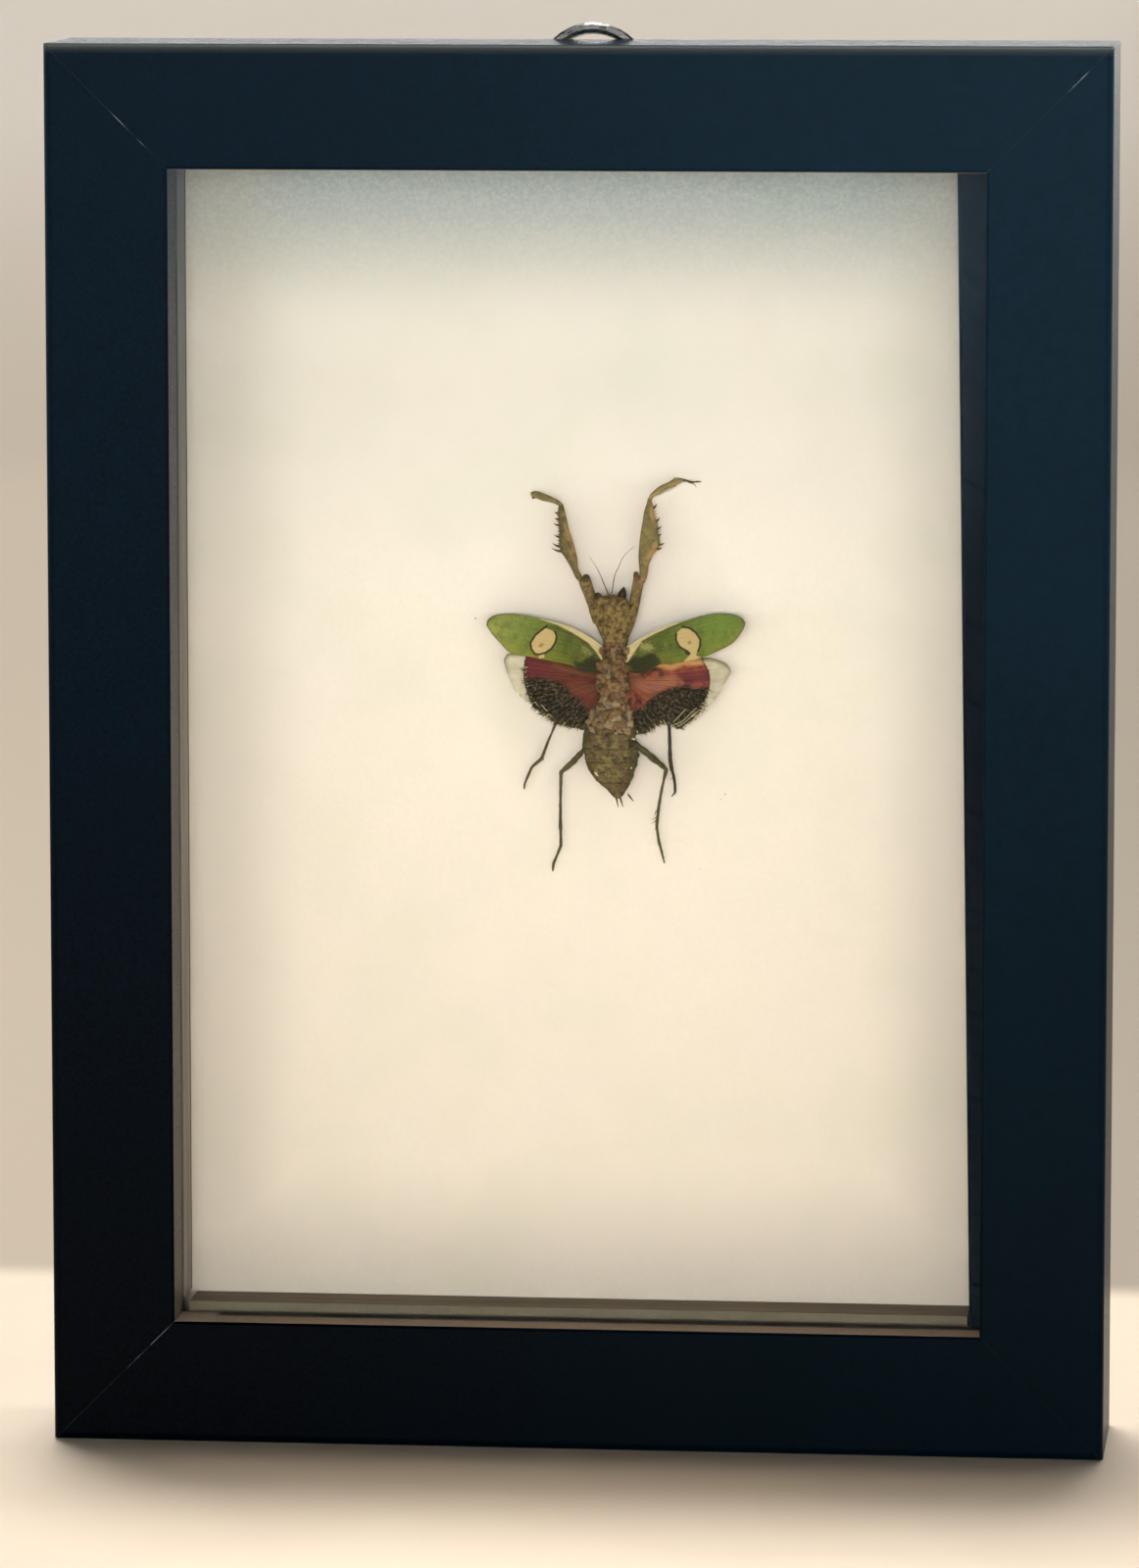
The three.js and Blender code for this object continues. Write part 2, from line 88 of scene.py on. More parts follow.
def paint(*levels):
    """The linear values that shaders use for a colour on screen."""
    shares = [level / 255 for level in levels]
    return (*[share / 12.92 if share <= 0.04045 else ((share + 0.055) / 1.055) ** 2.4 for share in shares], 1)


class Field:
    """A value or a colour that varies over a surface. Its arithmetic adds the nodes that it takes."""

    def __init__(self, nodes, socket):
        self.nodes, self.socket = nodes, socket

    def does(operation):
        """An operator that adds one maths node."""
        return lambda self, other=0.0: self.nodes.calc(operation, self, other)

    __add__, __sub__, __mul__ = does("ADD"), does("SUBTRACT"), does("MULTIPLY")
    __truediv__, __abs__ = does("DIVIDE"), does("ABSOLUTE")

    def __rsub__(self, other):
        return self.nodes.calc("SUBTRACT", other, self)

    def ease(self, low, high, to_low=0.0, to_high=1.0):
        """Goes smoothly from one value to the other as this one goes from low to high."""
        inputs = enumerate((self, low, high, to_low, to_high))
        return self.nodes.node("MapRange", inputs, interpolation_type="SMOOTHSTEP")

    def lay(self, share, colour, blend="MIX"):
        """Lays a share of a colour over this one."""
        self.socket = self.nodes.mix(share, self, colour, blend).socket


class Nodes:
    """A node tree, with short calls for its nodes."""

    def __init__(self, tree):
        self.tree = tree

    def feed(self, socket, value):
        if isinstance(value, Field):
            self.tree.links.new(value.socket, socket)
        else:
            socket.default_value = value

    def node(self, kind, inputs=(), output=0, **settings):
        """Adds a node with its settings and inputs, and gives one of its outputs."""
        node = self.tree.nodes.new("ShaderNode" + kind)
        for key, value in settings.items():
            setattr(node, key, value)
        for key, value in dict(inputs).items():
            self.feed(node.inputs[key], value)
        return Field(self, node.outputs[output])

    def calc(self, operation, first, second=0.0, clamp=False):
        return self.node("Math", {0: first, 1: second}, operation=operation, use_clamp=clamp)

    def mix(self, share, first, second, blend="MIX"):
        first, second = (paint(*value) if isinstance(value, tuple) and len(value) == 3 else value
                         for value in (first, second))
        return self.node("Mix", {0: share, 6: first, 7: second}, 2, data_type="RGBA", blend_type=blend)


class Look(Nodes):
    """One procedural material round a Principled shader. Sizes are in millimetres."""

    def __init__(self, name, roughness=0.5, specular=0.5, metallic=0.0, sheen=0.0):
        self.material = bpy.data.materials.new(name)
        self.material.use_nodes = True
        super().__init__(self.material.node_tree)
        self.shader = self.tree.nodes["Principled BSDF"].inputs
        self.place = self.node("TexCoord", output="Object")
        levels = {"Roughness": roughness, "Specular IOR Level": specular, "Metallic": metallic,
                  "Sheen Weight": sheen}
        for label, level in levels.items():
            self.shader[label].default_value = level

    def texture(self, kind, size, stretch=(1, 1, 1), shift=0.0, inputs=(), **settings):
        """A texture whose spots are about as large as the given size."""
        place = self.node("Mapping", {0: self.place, 1: (shift, shift * 0.7, shift * 1.3), 3: stretch})
        return self.node(kind, {"Vector": place, "Scale": 1 / (size * MM), **dict(inputs)}, **settings)

    def noise(self, size, detail=4.0, rough=0.55, stretch=(1, 1, 1), shift=0.0, warp=0.0):
        """Cloudy noise from 0 to 1."""
        inputs = {"Detail": detail, "Roughness": rough, "Distortion": warp}
        return self.texture("TexNoise", size, stretch, shift, inputs, output="Fac")

    def value(self, name):
        """What the mesh's vertices hold under a name."""
        return self.node("Attribute", output="Fac", attribute_name=name)

    def axes(self):
        parts = self.node("SeparateXYZ", {0: self.place}).socket.node
        return [Field(self, output) for output in parts.outputs]

    def finish(self, colour, relief=None, depth=0.0, roughness=None):
        self.feed(self.shader["Base Color"], colour)
        if roughness:
            self.feed(self.shader["Roughness"], roughness)
        if relief:
            bump = self.node("Bump", {"Strength": 1, "Distance": depth * MM, "Height": relief})
            self.feed(self.shader["Normal"], bump)
        return self.material


def frame_paint_look():
    """Black paint with a blue cast, painted lighter towards the top and the right as painted light, with a
    painted glint along the mitres, a painted highlight on the top arris and painted reflection in the lip.
    """
    look = Look("frame_paint", 0.3, 0.02)
    x, y, z = look.axes()
    height = z - MIDDLE_Z
    grain, cloud = look.noise(0.5, 3, 0.6), look.noise(40, 2)
    # Painted light: the black is lighter towards the top and to the right, and its grain follows the same
    # painted light.
    rise = height.ease(-HALF_HEIGHT * MM, HALF_HEIGHT * MM)
    side_light = x.ease(-70 * MM, 70 * MM)
    low, high = look.mix(side_light, (0, 1, 4), (1, 13, 21)), look.mix(side_light, (0, 17, 31), (8, 32, 47))
    colour = look.mix(rise, low, high)
    colour.lay(cloud.ease(0.35, 0.65, 0, 0.25), look.mix(0.5, colour, (0, 4, 8)))
    colour.lay(grain.ease(0.42, 0.7, 0, 0.3), look.mix(rise, (0, 14, 22), (6, 38, 54)))
    blot = look.noise(1.6, 3, 0.6, shift=0.6)
    colour.lay(blot.ease(0.42, 0.66, 0, 0.3), look.mix(0.6, colour, (0, 4, 8)))

    # Painted glint: a pale line along the mitres where they catch the light, strongest in short stretches of
    # the top mitres.
    from_side, from_end = HALF_WIDTH * MM - abs(x), HALF_HEIGHT * MM - abs(height)
    line = abs(from_side - from_end).ease(0.04 * MM, 0.16 * MM, 1, 0)
    broken = look.noise(2.5, 3, 0.7).ease(0.35, 0.62)
    upper, right = height.ease(-1 * MM, 1 * MM), x.ease(-1 * MM, 1 * MM)
    from_opening = LIP_WIDTH * MM - from_side

    def stretch(low, high, strength):
        """How strong the painted glint on the mitre is where it is from low to high millimetres off the
        opening.
        """
        middle, half = (low + high) / 2 * MM, (high - low) / 2 * MM
        return abs(from_opening - middle).ease(half * 0.5, half * 1.4, strength, 0.04)

    on_top = right.ease(0, 1, stretch(3.2, 7.8, 0.5), stretch(11.8, 14.2, 0.75))
    at_foot = right.ease(0, 1, stretch(0.2, 6.8, 0.4), 0.03)
    mitre_glint = look.calc("MULTIPLY", line * broken, upper.ease(0, 1, at_foot, on_top), clamp=True)
    colour.lay(mitre_glint, look.mix(upper, (128, 150, 160), (180, 186, 180)))
    # Painted highlight along the rounded top arris of the face.
    arris_highlight = height.ease((HALF_HEIGHT - 1.5) * MM, (HALF_HEIGHT - 0.1) * MM, 0, 0.45)
    colour.lay(arris_highlight * y.ease(FACE_Y + 0.4 * MM, FACE_Y + 1.6 * MM, 1, 0), (92, 94, 86))

    # Painted reflection: the inner faces of the lip are painted pale, brownish on the bottom and bluer higher
    # up on the left, and a painted shadow darkens them next to the glass, barely on the left.
    inset = look.calc("MINIMUM", from_side, from_end)
    glass_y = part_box("glass_pane")[0].y
    upright = look.mix(height.ease(-70 * MM, 80 * MM), (155, 142, 128), (116, 121, 140))
    on_left = x.ease(-52 * MM, -54 * MM)
    lip_reflection = look.mix(on_left, look.mix(cloud, (132, 112, 96), (156, 136, 116)), upright)
    lip_reflection.lay(y.ease(glass_y - 3.2 * MM, glass_y - 1.8 * MM, 0, on_left.ease(0, 1, 1, 0.05)), (10, 14, 16))
    colour.lay(inset.ease((LIP_WIDTH - 0.08) * MM, (LIP_WIDTH - 0.02) * MM), lip_reflection)
    return look.finish(colour, look.noise(0.35, 3, 0.6), 0.012, grain.ease(0.3, 0.7, 0.26, 0.38))


def board_look():
    """White card with a faint tooth, with painted shade under the top rail and at its sides and foot, and a
    painted shadow round the insect.
    """
    look = Look("white_board", 0.9, 0.1)
    x, y, z = look.axes()
    colour = look.mix(z.ease(MIDDLE_Z - 90 * MM, MIDDLE_Z + 90 * MM), (240, 225, 209), (240, 233, 223))
    colour.lay(look.noise(9, 4, 0.6).ease(0.4, 0.7, 0, 0.3), (234, 224, 212))
    # Painted shade: the card greys towards the top, under the top rail.
    rail_shade = z.ease(MIDDLE_Z + 15 * MM, MIDDLE_Z + 58 * MM, 0, 0.2)
    colour.lay(rail_shade + z.ease(MIDDLE_Z + 58 * MM, MIDDLE_Z + 84 * MM, 0, 0.8), (140, 152, 156))
    # Painted shadow: a soft darker patch on the card round the insect.
    across, upward = (x - 3.5 * MM) / (17 * MM), (z - (MIDDLE_Z + 12 * MM)) / (24 * MM)
    colour.lay((across * across + upward * upward).ease(0.15, 1.6, 0.36, 0), (196, 184, 178))
    # Painted shade at the sides and foot of the card, next to the strips.
    side_shade = abs(x).ease(40 * MM, 54 * MM, 0, 0.34)
    at_foot = z.ease(MIDDLE_Z - 81 * MM, MIDDLE_Z - 60 * MM, 0.52, 0)
    colour.lay(look.calc("MAXIMUM", side_shade, at_foot), (178, 168, 158))
    fibres = look.noise(0.6, 4, 0.7)
    colour.lay(fibres.ease(0.3, 0.8, 0, 0.25), (226, 215, 201))
    return look.finish(colour, fibres, 0.03)


def side_strip_look():
    """Grey card strip with painted light: both change tone towards the top, the right one is painted far
    darker as in shade, and painted shadow lines run at the glass and where it meets the board.
    """
    look = Look("side_spacer_strip", 0.85, 0.1)
    x, y, z = look.axes()
    grain = look.noise(0.4, 3)
    streak = look.noise(1.2, 2, stretch=(1, 1, 0.05), shift=0.4)
    # Painted light: both strips change tone towards the top, and the right one is painted far darker than the
    # left, as in shade.
    rise = z.ease(MIDDLE_Z, MIDDLE_Z + 80 * MM)
    left = look.mix(streak.ease(0.35, 0.65), (128, 122, 115), (146, 138, 130))
    left.lay(rise, (116, 121, 127))
    right = look.mix(grain, (12, 28, 42), (28, 46, 62))
    right = look.mix(rise, right, look.mix(grain, (46, 64, 84), (68, 88, 108)))
    front, back = (corner.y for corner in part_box("spacer_left"))
    # Painted shadow lines: at the front edge by the glass, and at the back where the strip meets the board.
    left.lay(y.ease(front + 0.02 * MM, front + 0.2 * MM, 0.4, 0), (60, 66, 66))
    colour = look.mix(x.ease(-1 * MM, 1 * MM), left, right)
    colour.lay(y.ease(back - 1.1 * MM, back - 0.5 * MM, 0, 0.8), (34, 30, 22))
    return look.finish(colour, grain, 0.05)


def cross_strip_look():
    """Olive grey card strip."""
    look = Look("cross_spacer_strip", 0.85, 0.1)
    x, y, z = look.axes()
    grain = look.noise(0.4, 3)
    streak = look.noise(2.5, 3, stretch=(0.08, 1, 1), shift=0.2)
    colour = look.mix(streak.ease(0.35, 0.65), (113, 104, 90), (126, 116, 101))
    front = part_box("spacer_bottom")[0].y
    face = look.mix(grain, (108, 100, 84), (125, 115, 97))
    colour.lay(y.ease(front + 0.02 * MM, front + 0.2 * MM, 1, 0), face)
    return look.finish(colour, grain, 0.05)


def fibreboard_look():
    look = Look("fibreboard", 0.9, 0.2)
    fibres = look.noise(0.7, 6, 0.75, stretch=(1, 1, 0.5))
    colour = look.mix(fibres.ease(0.3, 0.7), (118, 88, 61), (146, 114, 81))
    colour.lay(look.noise(22, 3).ease(0.45, 0.7, 0, 0.4), (96, 70, 50))
    return look.finish(colour, fibres, 0.08)


def steel_look():
    look = Look("steel", 0.28, metallic=1.0)
    marks = look.noise(0.8, 4, 0.7, stretch=(0.3, 1, 1))
    colour = look.mix(marks.ease(0.35, 0.7), (205, 204, 200), (160, 158, 152))
    colour.lay(look.noise(2.2, 3).ease(0.5, 0.7) * 0.5, (112, 106, 98))
    return look.finish(colour, marks, 0.01, marks.ease(0.3, 0.7, 0.2, 0.4))


def glass_look():
    """A clear pane: what isn't mirrored goes straight through."""
    look = Look("pane")
    tint = look.mix(look.noise(18, 2, 0.5).ease(0.45, 0.75), (254, 255, 254), (252, 254, 252))
    clear = look.node("BsdfTransparent", {"Color": tint})
    mirror = look.node("BsdfGlossy", {"Roughness": 0.03})
    outside = 1 - look.node("NewGeometry", output="Backfacing")
    share = look.node("Fresnel", {"IOR": 1.16}) * outside
    both = look.node("MixShader", {0: share, 1: clear, 2: mirror})
    look.feed(look.tree.nodes["Material Output"].inputs["Surface"], both)
    look.tree.nodes.remove(look.tree.nodes["Principled BSDF"])
    return look.material


def dress_frame():
    side_strip, cross_strip = side_strip_look(), cross_strip_look()
    steel, frame_paint = steel_look(), frame_paint_look()
    looks = {
        "rail_": frame_paint,
        "glass_pane": glass_look(),
        "spacer_left": side_strip,
        "spacer_right": side_strip,
        "spacer_top": cross_strip,
        "spacer_bottom": cross_strip,
        "backing_board": board_look(),
        "back_panel": fibreboard_look(),
        "retaining_point_": steel,
        "hanger_": steel,
    }
    for name, node in nodes.items():
        for start, material in looks.items():
            if name.startswith(start):
                node.data.materials.clear()
                node.data.materials.append(material)
    add_mitre_filler(frame_paint)


# Meshes

def add_mitre_filler(material):
    """Paint that closes the hairline at each mitre, just below the face of the frame."""
    front, depth, half, clear = FACE_Y + 0.25 * MM, 4 * MM, 0.12 * MM, 0.3 * MM
    near, far = clear, LIP_WIDTH * MM - clear
    piece = Piece()
    for side in (-1, 1):
        for end in (-1, 1):
            along, off = Vector((-side, -end)), Vector((-side, end)) * half / math.sqrt(2)
            corner = Vector((side * HALF_WIDTH * MM, end * HALF_HEIGHT * MM))
            outline = [corner + along * reach + off * sign for reach, sign in
                       ((near, -1), (far, -1), (far, 1), (near, 1))]
            points = [(p.x, y, MIDDLE_Z + p.y) for y in (front, front + depth) for p in outline]
            faces = [(0, 1, 2, 3), (7, 6, 5, 4), (0, 4, 5, 1), (1, 5, 6, 2), (2, 6, 7, 3), (3, 7, 4, 0)]
            piece.add(points, faces if side * end > 0 else [face[::-1] for face in faces])
    piece.make("mitre_filler", [], "frame_paint", material, smooth=False)


def spots(x, up, lift):
    """Points in metres from places in millimetres."""
    x, up, lift = np.broadcast_arrays(x, up, lift)
    return np.stack([x * MM, BOARD_LOW.y - lift * MM, MIDDLE_Z + up * MM], -1).astype(float)


class Piece:
    """Collects parts into one mesh, each with values for its vertices that the material reads."""

    def __init__(self):
        self.points, self.faces, self.values, self.count = [], [], [], 0

    def add(self, points, faces, **values):
        points = np.asarray(points, float).reshape(-1, 3)
        self.faces += [tuple(int(i) + self.count for i in face) for face in faces]
        self.points.append(points)
        self.values.append((len(points), values))
        self.count += len(points)

    def make(self, name, replaced, slot, material, smooth=True):
        mesh = bpy.data.meshes.new(name)
        mesh.from_pydata(np.concatenate(self.points).tolist(), [], self.faces)
        for label in sorted({label for _, values in self.values for label in values}):
            parts = [np.broadcast_to(np.ravel(values.get(label, 0)), count) for count, values in self.values]
            attribute = mesh.attributes.new(label, "FLOAT", "POINT")
            attribute.data.foreach_set("value", np.concatenate(parts).astype(np.float32))
        mesh.polygons.foreach_set("use_smooth", [smooth] * len(mesh.polygons))
        mesh.materials.append(material)
        mesh.validate()
        mesh.update()
        piece = add_object(name, mesh)
        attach(piece, "frame")
        if replaced:
            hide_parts(*replaced)


def grid_faces(rows, columns, closed=False):
    """Quads over a grid of rows by columns, joined round the columns if it is closed."""
    return [(row * columns + column, row * columns + (column + 1) % columns,
             (row + 1) * columns + (column + 1) % columns, (row + 1) * columns + column)
            for row in range(rows - 1) for column in range(columns if closed else columns - 1)]


def skin_faces(rows, sides):
    """Quads round a row of rings, with a cap at each end."""
    last = (rows - 1) * sides
    caps = [tuple(reversed(range(sides))), tuple(range(last, last + sides))]
    return grid_faces(rows, sides, closed=True) + caps


def smooth_noise(points, size, seed=0):
    """Noise from about -1 to 1 at points in metres, in spots of size millimetres."""
    shift = Vector((seed * 7.31, seed * 3.17, seed * 5.53))
    scale = 1 / (size * MM)
    return np.array([noise.noise(Vector(p) * scale + shift) for p in np.asarray(points).reshape(-1, 3)])


def around(sides):
    return np.arange(sides) * 2 * math.pi / sides


def travelled(line):
    """How far along a line each of its points is."""
    return np.concatenate([[0], np.cumsum(np.linalg.norm(np.diff(line, axis=0), axis=1))])


def columns_at(where, travel, line):
    """A line's columns at the given ways along it."""
    return np.stack([np.interp(where, travel, column) for column in line.T], -1)


def resample(line, count):
    """Points evenly spaced along a smooth curve through the given ones."""
    line, fine = np.array(line, float), []
    for i in range(len(line) - 1):
        before, a, b, after = line[max(i - 1, 0)], line[i], line[i + 1], line[min(i + 2, len(line) - 1)]
        bend, twist = 2 * before - 5 * a + 4 * b - after, 3 * a - before - 3 * b + after
        for share in np.linspace(0, 1, 12, endpoint=False):
            fine.append(0.5 * (2 * a + (b - before) * share + bend * share ** 2 + twist * share ** 3))
    fine = np.array(fine + [line[-1]])
    travel = travelled(fine)
    return columns_at(np.linspace(0, travel[-1], count), travel, fine)


def tube(piece, joints, sides=10, step=0.3, flat=1.0, wobble=0.0, seed=0, **values):
    """A closed limb through joints of (x, up, lift, radius). Flat makes it thinner off the board."""
    joints = np.array(joints, float)
    travel = travelled(joints[:, :3])
    count = max(len(joints), int(travel[-1] / step) + 1)
    where = np.unique(np.concatenate([np.linspace(0, travel[-1], count), travel]))
    line = columns_at(where, travel, joints)
    ahead = np.gradient(line[:, :3], axis=0)
    ahead /= np.linalg.norm(ahead, axis=1)[:, None] + 1e-12
    side = np.cross(ahead, (0, 0, 1.0))
    side /= np.linalg.norm(side, axis=1)[:, None] + 1e-12
    top = np.cross(side, ahead)
    angles = around(sides)
    radius = line[:, 3].copy()
    if wobble:
        radius *= 1 + wobble * smooth_noise(spots(*line.T[:3]), 0.5, seed)
    rings = (line[:, None, :3]
             + side[:, None, :] * (radius[:, None] * np.cos(angles))[:, :, None]
             + top[:, None, :] * (flat * radius[:, None] * np.sin(angles))[:, :, None])
    tips = np.stack([line[0, :3] - ahead[0] * radius[0] * 0.6, line[-1, :3] + ahead[-1] * radius[-1] * 0.6])
    points = np.concatenate([rings.reshape(-1, 3), tips])
    faces = grid_faces(len(line), sides, closed=True)
    first, last = len(line) * sides, (len(line) - 1) * sides
    for k in range(sides):
        beside = (k + 1) % sides
        faces += [(first, beside, k), (first + 1, last + k, last + beside)]
    along = np.concatenate([np.repeat(where / travel[-1], sides), [0, 1]])
    piece.add(spots(*points.T), faces, along=along, **values)


def blob(piece, x, up, lift, half_x, half_up, half_lift, turn=0.0, dent=0.0, size=0.6, seed=0, **values):
    """A rounded lump, turned in the plane of the board, with its surface dented by noise."""
    rows, columns, tip = 25, 36, 0.02
    ring = np.linspace(tip, math.pi - tip, rows)[:, None]
    angle = around(columns)[None, :]
    across, upward = np.sin(ring), np.cos(ring) + 0 * angle
    local = np.stack([across * np.cos(angle), upward, across * np.sin(angle)], -1)
    local *= half_x, half_up, half_lift
    if dent:
        local *= (1 + dent * smooth_noise(local * MM, size, seed)).reshape(rows, columns, 1)
    cos, sin = math.cos(turn), math.sin(turn)
    a, b, c = np.moveaxis(local, -1, 0)
    points = spots(x + a * cos - b * sin, up + a * sin + b * cos, lift + c)
    piece.add(points, [face[::-1] for face in skin_faces(rows, columns)], **values)


def line_distance(points, line):
    """How far each point is from a line through the given places."""
    line = np.array(line, float)
    best = np.full(len(points), 1e9)
    for a, b in zip(line[:-1], line[1:]):
        ab = b - a
        share = np.clip((points - a) @ ab / (ab @ ab), 0, 1)
        best = np.minimum(best, np.linalg.norm(points - a - share[:, None] * ab, axis=1))
    return best


def inside_distance(points, outline):
    """How far inside an outline each point is, less than zero outside it."""
    loop = np.array([*outline, outline[0]], float)
    inside = np.zeros(len(points), bool)
    for a, b in zip(loop[:-1], loop[1:]):
        crosses = (a[1] > points[:, 1]) != (b[1] > points[:, 1])
        rise = b[1] - a[1] if abs(b[1] - a[1]) > 1e-9 else 1e-9
        inside ^= crosses & (points[:, 0] < a[0] + (points[:, 1] - a[1]) * (b[0] - a[0]) / rise)
    distance = line_distance(points, loop)
    return np.where(inside, distance, -distance)


# Wings. Each is a sheet over a grid of places, and its marks are outlines and lines in millimetres

WING_THICKNESS = 0.1
GRID_STEP = 0.13
FOREWING_LIFT = 2.95
HINDWING_LIFT = 2.3


def add_wing(name, slot, material, wing, border, places, lift, **values):
    """A thin closed sheet, its front at the given lift. Its vertices hold how far they are off each mark."""
    rows, columns = places.shape[:2]
    flat = places.reshape(-1, 2)
    values.update({mark: inside_distance(flat, outline) for mark, outline in wing["outlines"].items()})
    values.update({mark: line_distance(flat, line) for mark, line in wing["lines"].items()})
    values["rim"] = line_distance(flat, border[::4])
    count = rows * columns
    near = grid_faces(rows, columns)
    faces = near + [tuple(i + count for i in reversed(face)) for face in near]
    grid = np.arange(count).reshape(rows, columns)
    rim = [*grid[0], *grid[1:, -1], *grid[-1, -2::-1], *grid[-2:0:-1, 0]]
    faces += [(b, a, a + count, b + count) for a, b in zip(rim, rim[1:] + rim[:1])]
    x, up = places[..., 0], places[..., 1]
    points = np.stack([spots(x, up, lift), spots(x, up, lift - WING_THICKNESS)])
    piece = Piece()
    piece.add(points, faces, **{mark: np.tile(np.ravel(column), 2) for mark, column in values.items()})
    piece.make(name + "_sheet", [name], slot, material)


FOREWINGS = {
    "forewing_left": {
        "leading": [(3.2, 12.8), (2.7, 14.1), (1, 15.4), (-1, 16.55), (-3, 17.35), (-6, 18.1), (-9, 18.7),
            (-11, 18.85), (-13, 18.65), (-14.1, 18), (-14.35, 17.3)],
        "trailing": [(3, 11.2), (1.5, 10.4), (0, 10.45), (-1, 10.8), (-2, 11.4), (-5, 12), (-8, 12.6),
            (-10.8, 13.1), (-12.4, 14.6), (-13.5, 15.8), (-14.25, 16.9)],
        "outlines": {
            "spot": [(-5.7, 16.8), (-4.7, 16.45), (-4.2, 15.9), (-4.15, 15.2), (-4.4, 14.5), (-4.9, 13.8),
                (-5.8, 13.25), (-6.7, 12.95), (-7.3, 13.1), (-7.75, 13.8), (-7.85, 14.7), (-7.2, 15.8),
                (-6.5, 16.4)],
            "tail": [(-6.75, 13), (-5.9, 13.3), (-5.9, 12.5), (-6.7, 12.3)],
            "strip": [(-7.5, 18.9), (-3, 18), (1, 16), (3.6, 14.2), (3.2, 11.6), (2.3, 12.4), (1.5, 13.6),
                (0.4, 14.8), (-1.7, 16.15), (-4, 17.3), (-6.4, 18.05)],
            "pale": [(-0.4, 14.2), (0.6, 13.9), (1.1, 13.2), (0.4, 12.9), (-0.6, 13.4)],
            "dark": [(-1.8, 11.9), (-0.4, 12.3), (1.2, 12.6), (2.6, 12.2), (3.2, 10.2), (1.5, 9.8), (0, 9.9),
                (-1.4, 10.9)],
        },
        "lines": {
            "ring": [(-4.3, 16.3), (-4.1, 15.6), (-4.3, 14.7), (-4.9, 13.8), (-5.8, 13.2), (-6.7, 12.95),
                (-7.3, 13.05), (-7.8, 13.8), (-7.9, 14.7), (-7.2, 15.8), (-6.4, 16.45), (-5.5, 17.2)],
            "dot": [(-6.2, 14.4), (-6.5, 14.25)],
            "fold": [(-5.5, 17.2), (-4, 16.8), (-1.5, 15.6), (0.6, 14.4)],
        },
        "tip": (136, 152, 92), "middle": (98, 122, 56), "root": (88, 100, 46), "pale": 0.35,
    },
    "forewing_right": {
        "leading": [(5.4, 12.6), (5.8, 13.8), (7, 14.8), (9, 15.9), (11, 16.9), (13, 17.7), (15, 18.25),
            (17, 18.85), (19, 19.2), (21, 19.2), (22.6, 18.75), (23.35, 17.9)],
        "trailing": [(5.5, 11.2), (7, 10.4), (8.5, 10.4), (10, 11), (11, 11.7), (14, 12), (17, 12.7),
            (19.5, 13.8), (21.5, 14.9), (22.8, 16.5), (23.3, 17.5)],
        "outlines": {
            "spot": [(14.1, 17), (15.1, 17), (16.1, 16.3), (16.7, 15.4), (16.65, 14.4), (16.35, 13.6),
                (16.15, 12.9), (16.4, 12.3), (15.6, 11.9), (15, 12.3), (15.2, 12.9), (15.35, 13.5),
                (14.9, 13.9), (14.2, 14.15), (13.6, 14.75), (13.35, 15.5), (13.5, 16.4)],
            "tail": [(15.2, 13), (16.2, 13.1), (17.1, 12.6), (16.4, 11.9), (15.2, 11.6), (14.3, 12)],
            "strip": [(5, 12), (5.2, 14.2), (9, 16.3), (13, 18.2), (17.6, 19.6), (17.5, 18.9), (14, 17.85),
                (12, 16.95), (10, 16), (8.3, 15.05), (7.2, 13.4), (6.3, 12)],
            "pale": [(8.1, 14.8), (9.4, 14.9), (10.1, 14.5), (10, 13.8), (9, 13.6), (8, 14)],
            "dark": [(6, 12.2), (7.6, 12.9), (9.4, 13.1), (10.6, 12.6), (10.9, 11.6), (10, 10.6), (8.5, 9.9),
                (6.2, 10)],
        },
        "lines": {
            "ring": [(14.2, 17.25), (15.3, 17.05), (16.25, 16.35), (16.85, 15.4), (16.8, 14.5), (16.5, 13.7)],
            "cusp": [(13.3, 16.2), (13.3, 15.3), (13.75, 14.4), (14.5, 13.9), (15, 13.6)],
            "blob": [(14.8, 13.45), (15.15, 13.35)],
            "dot": [(15.2, 14.9), (15.35, 15)],
            "fold": [(17, 18.75), (14, 17.7), (12, 16.85), (10, 15.9), (8.5, 15.05)],
        },
        "tip": (100, 131, 64), "middle": (92, 120, 54), "root": (86, 98, 48), "pale": 0.6,
    },
}
# Half widths of the dark lines round the spots
SPOT_RIMS = {"ring": 0.15, "cusp": 0.15, "blob": 0.26}


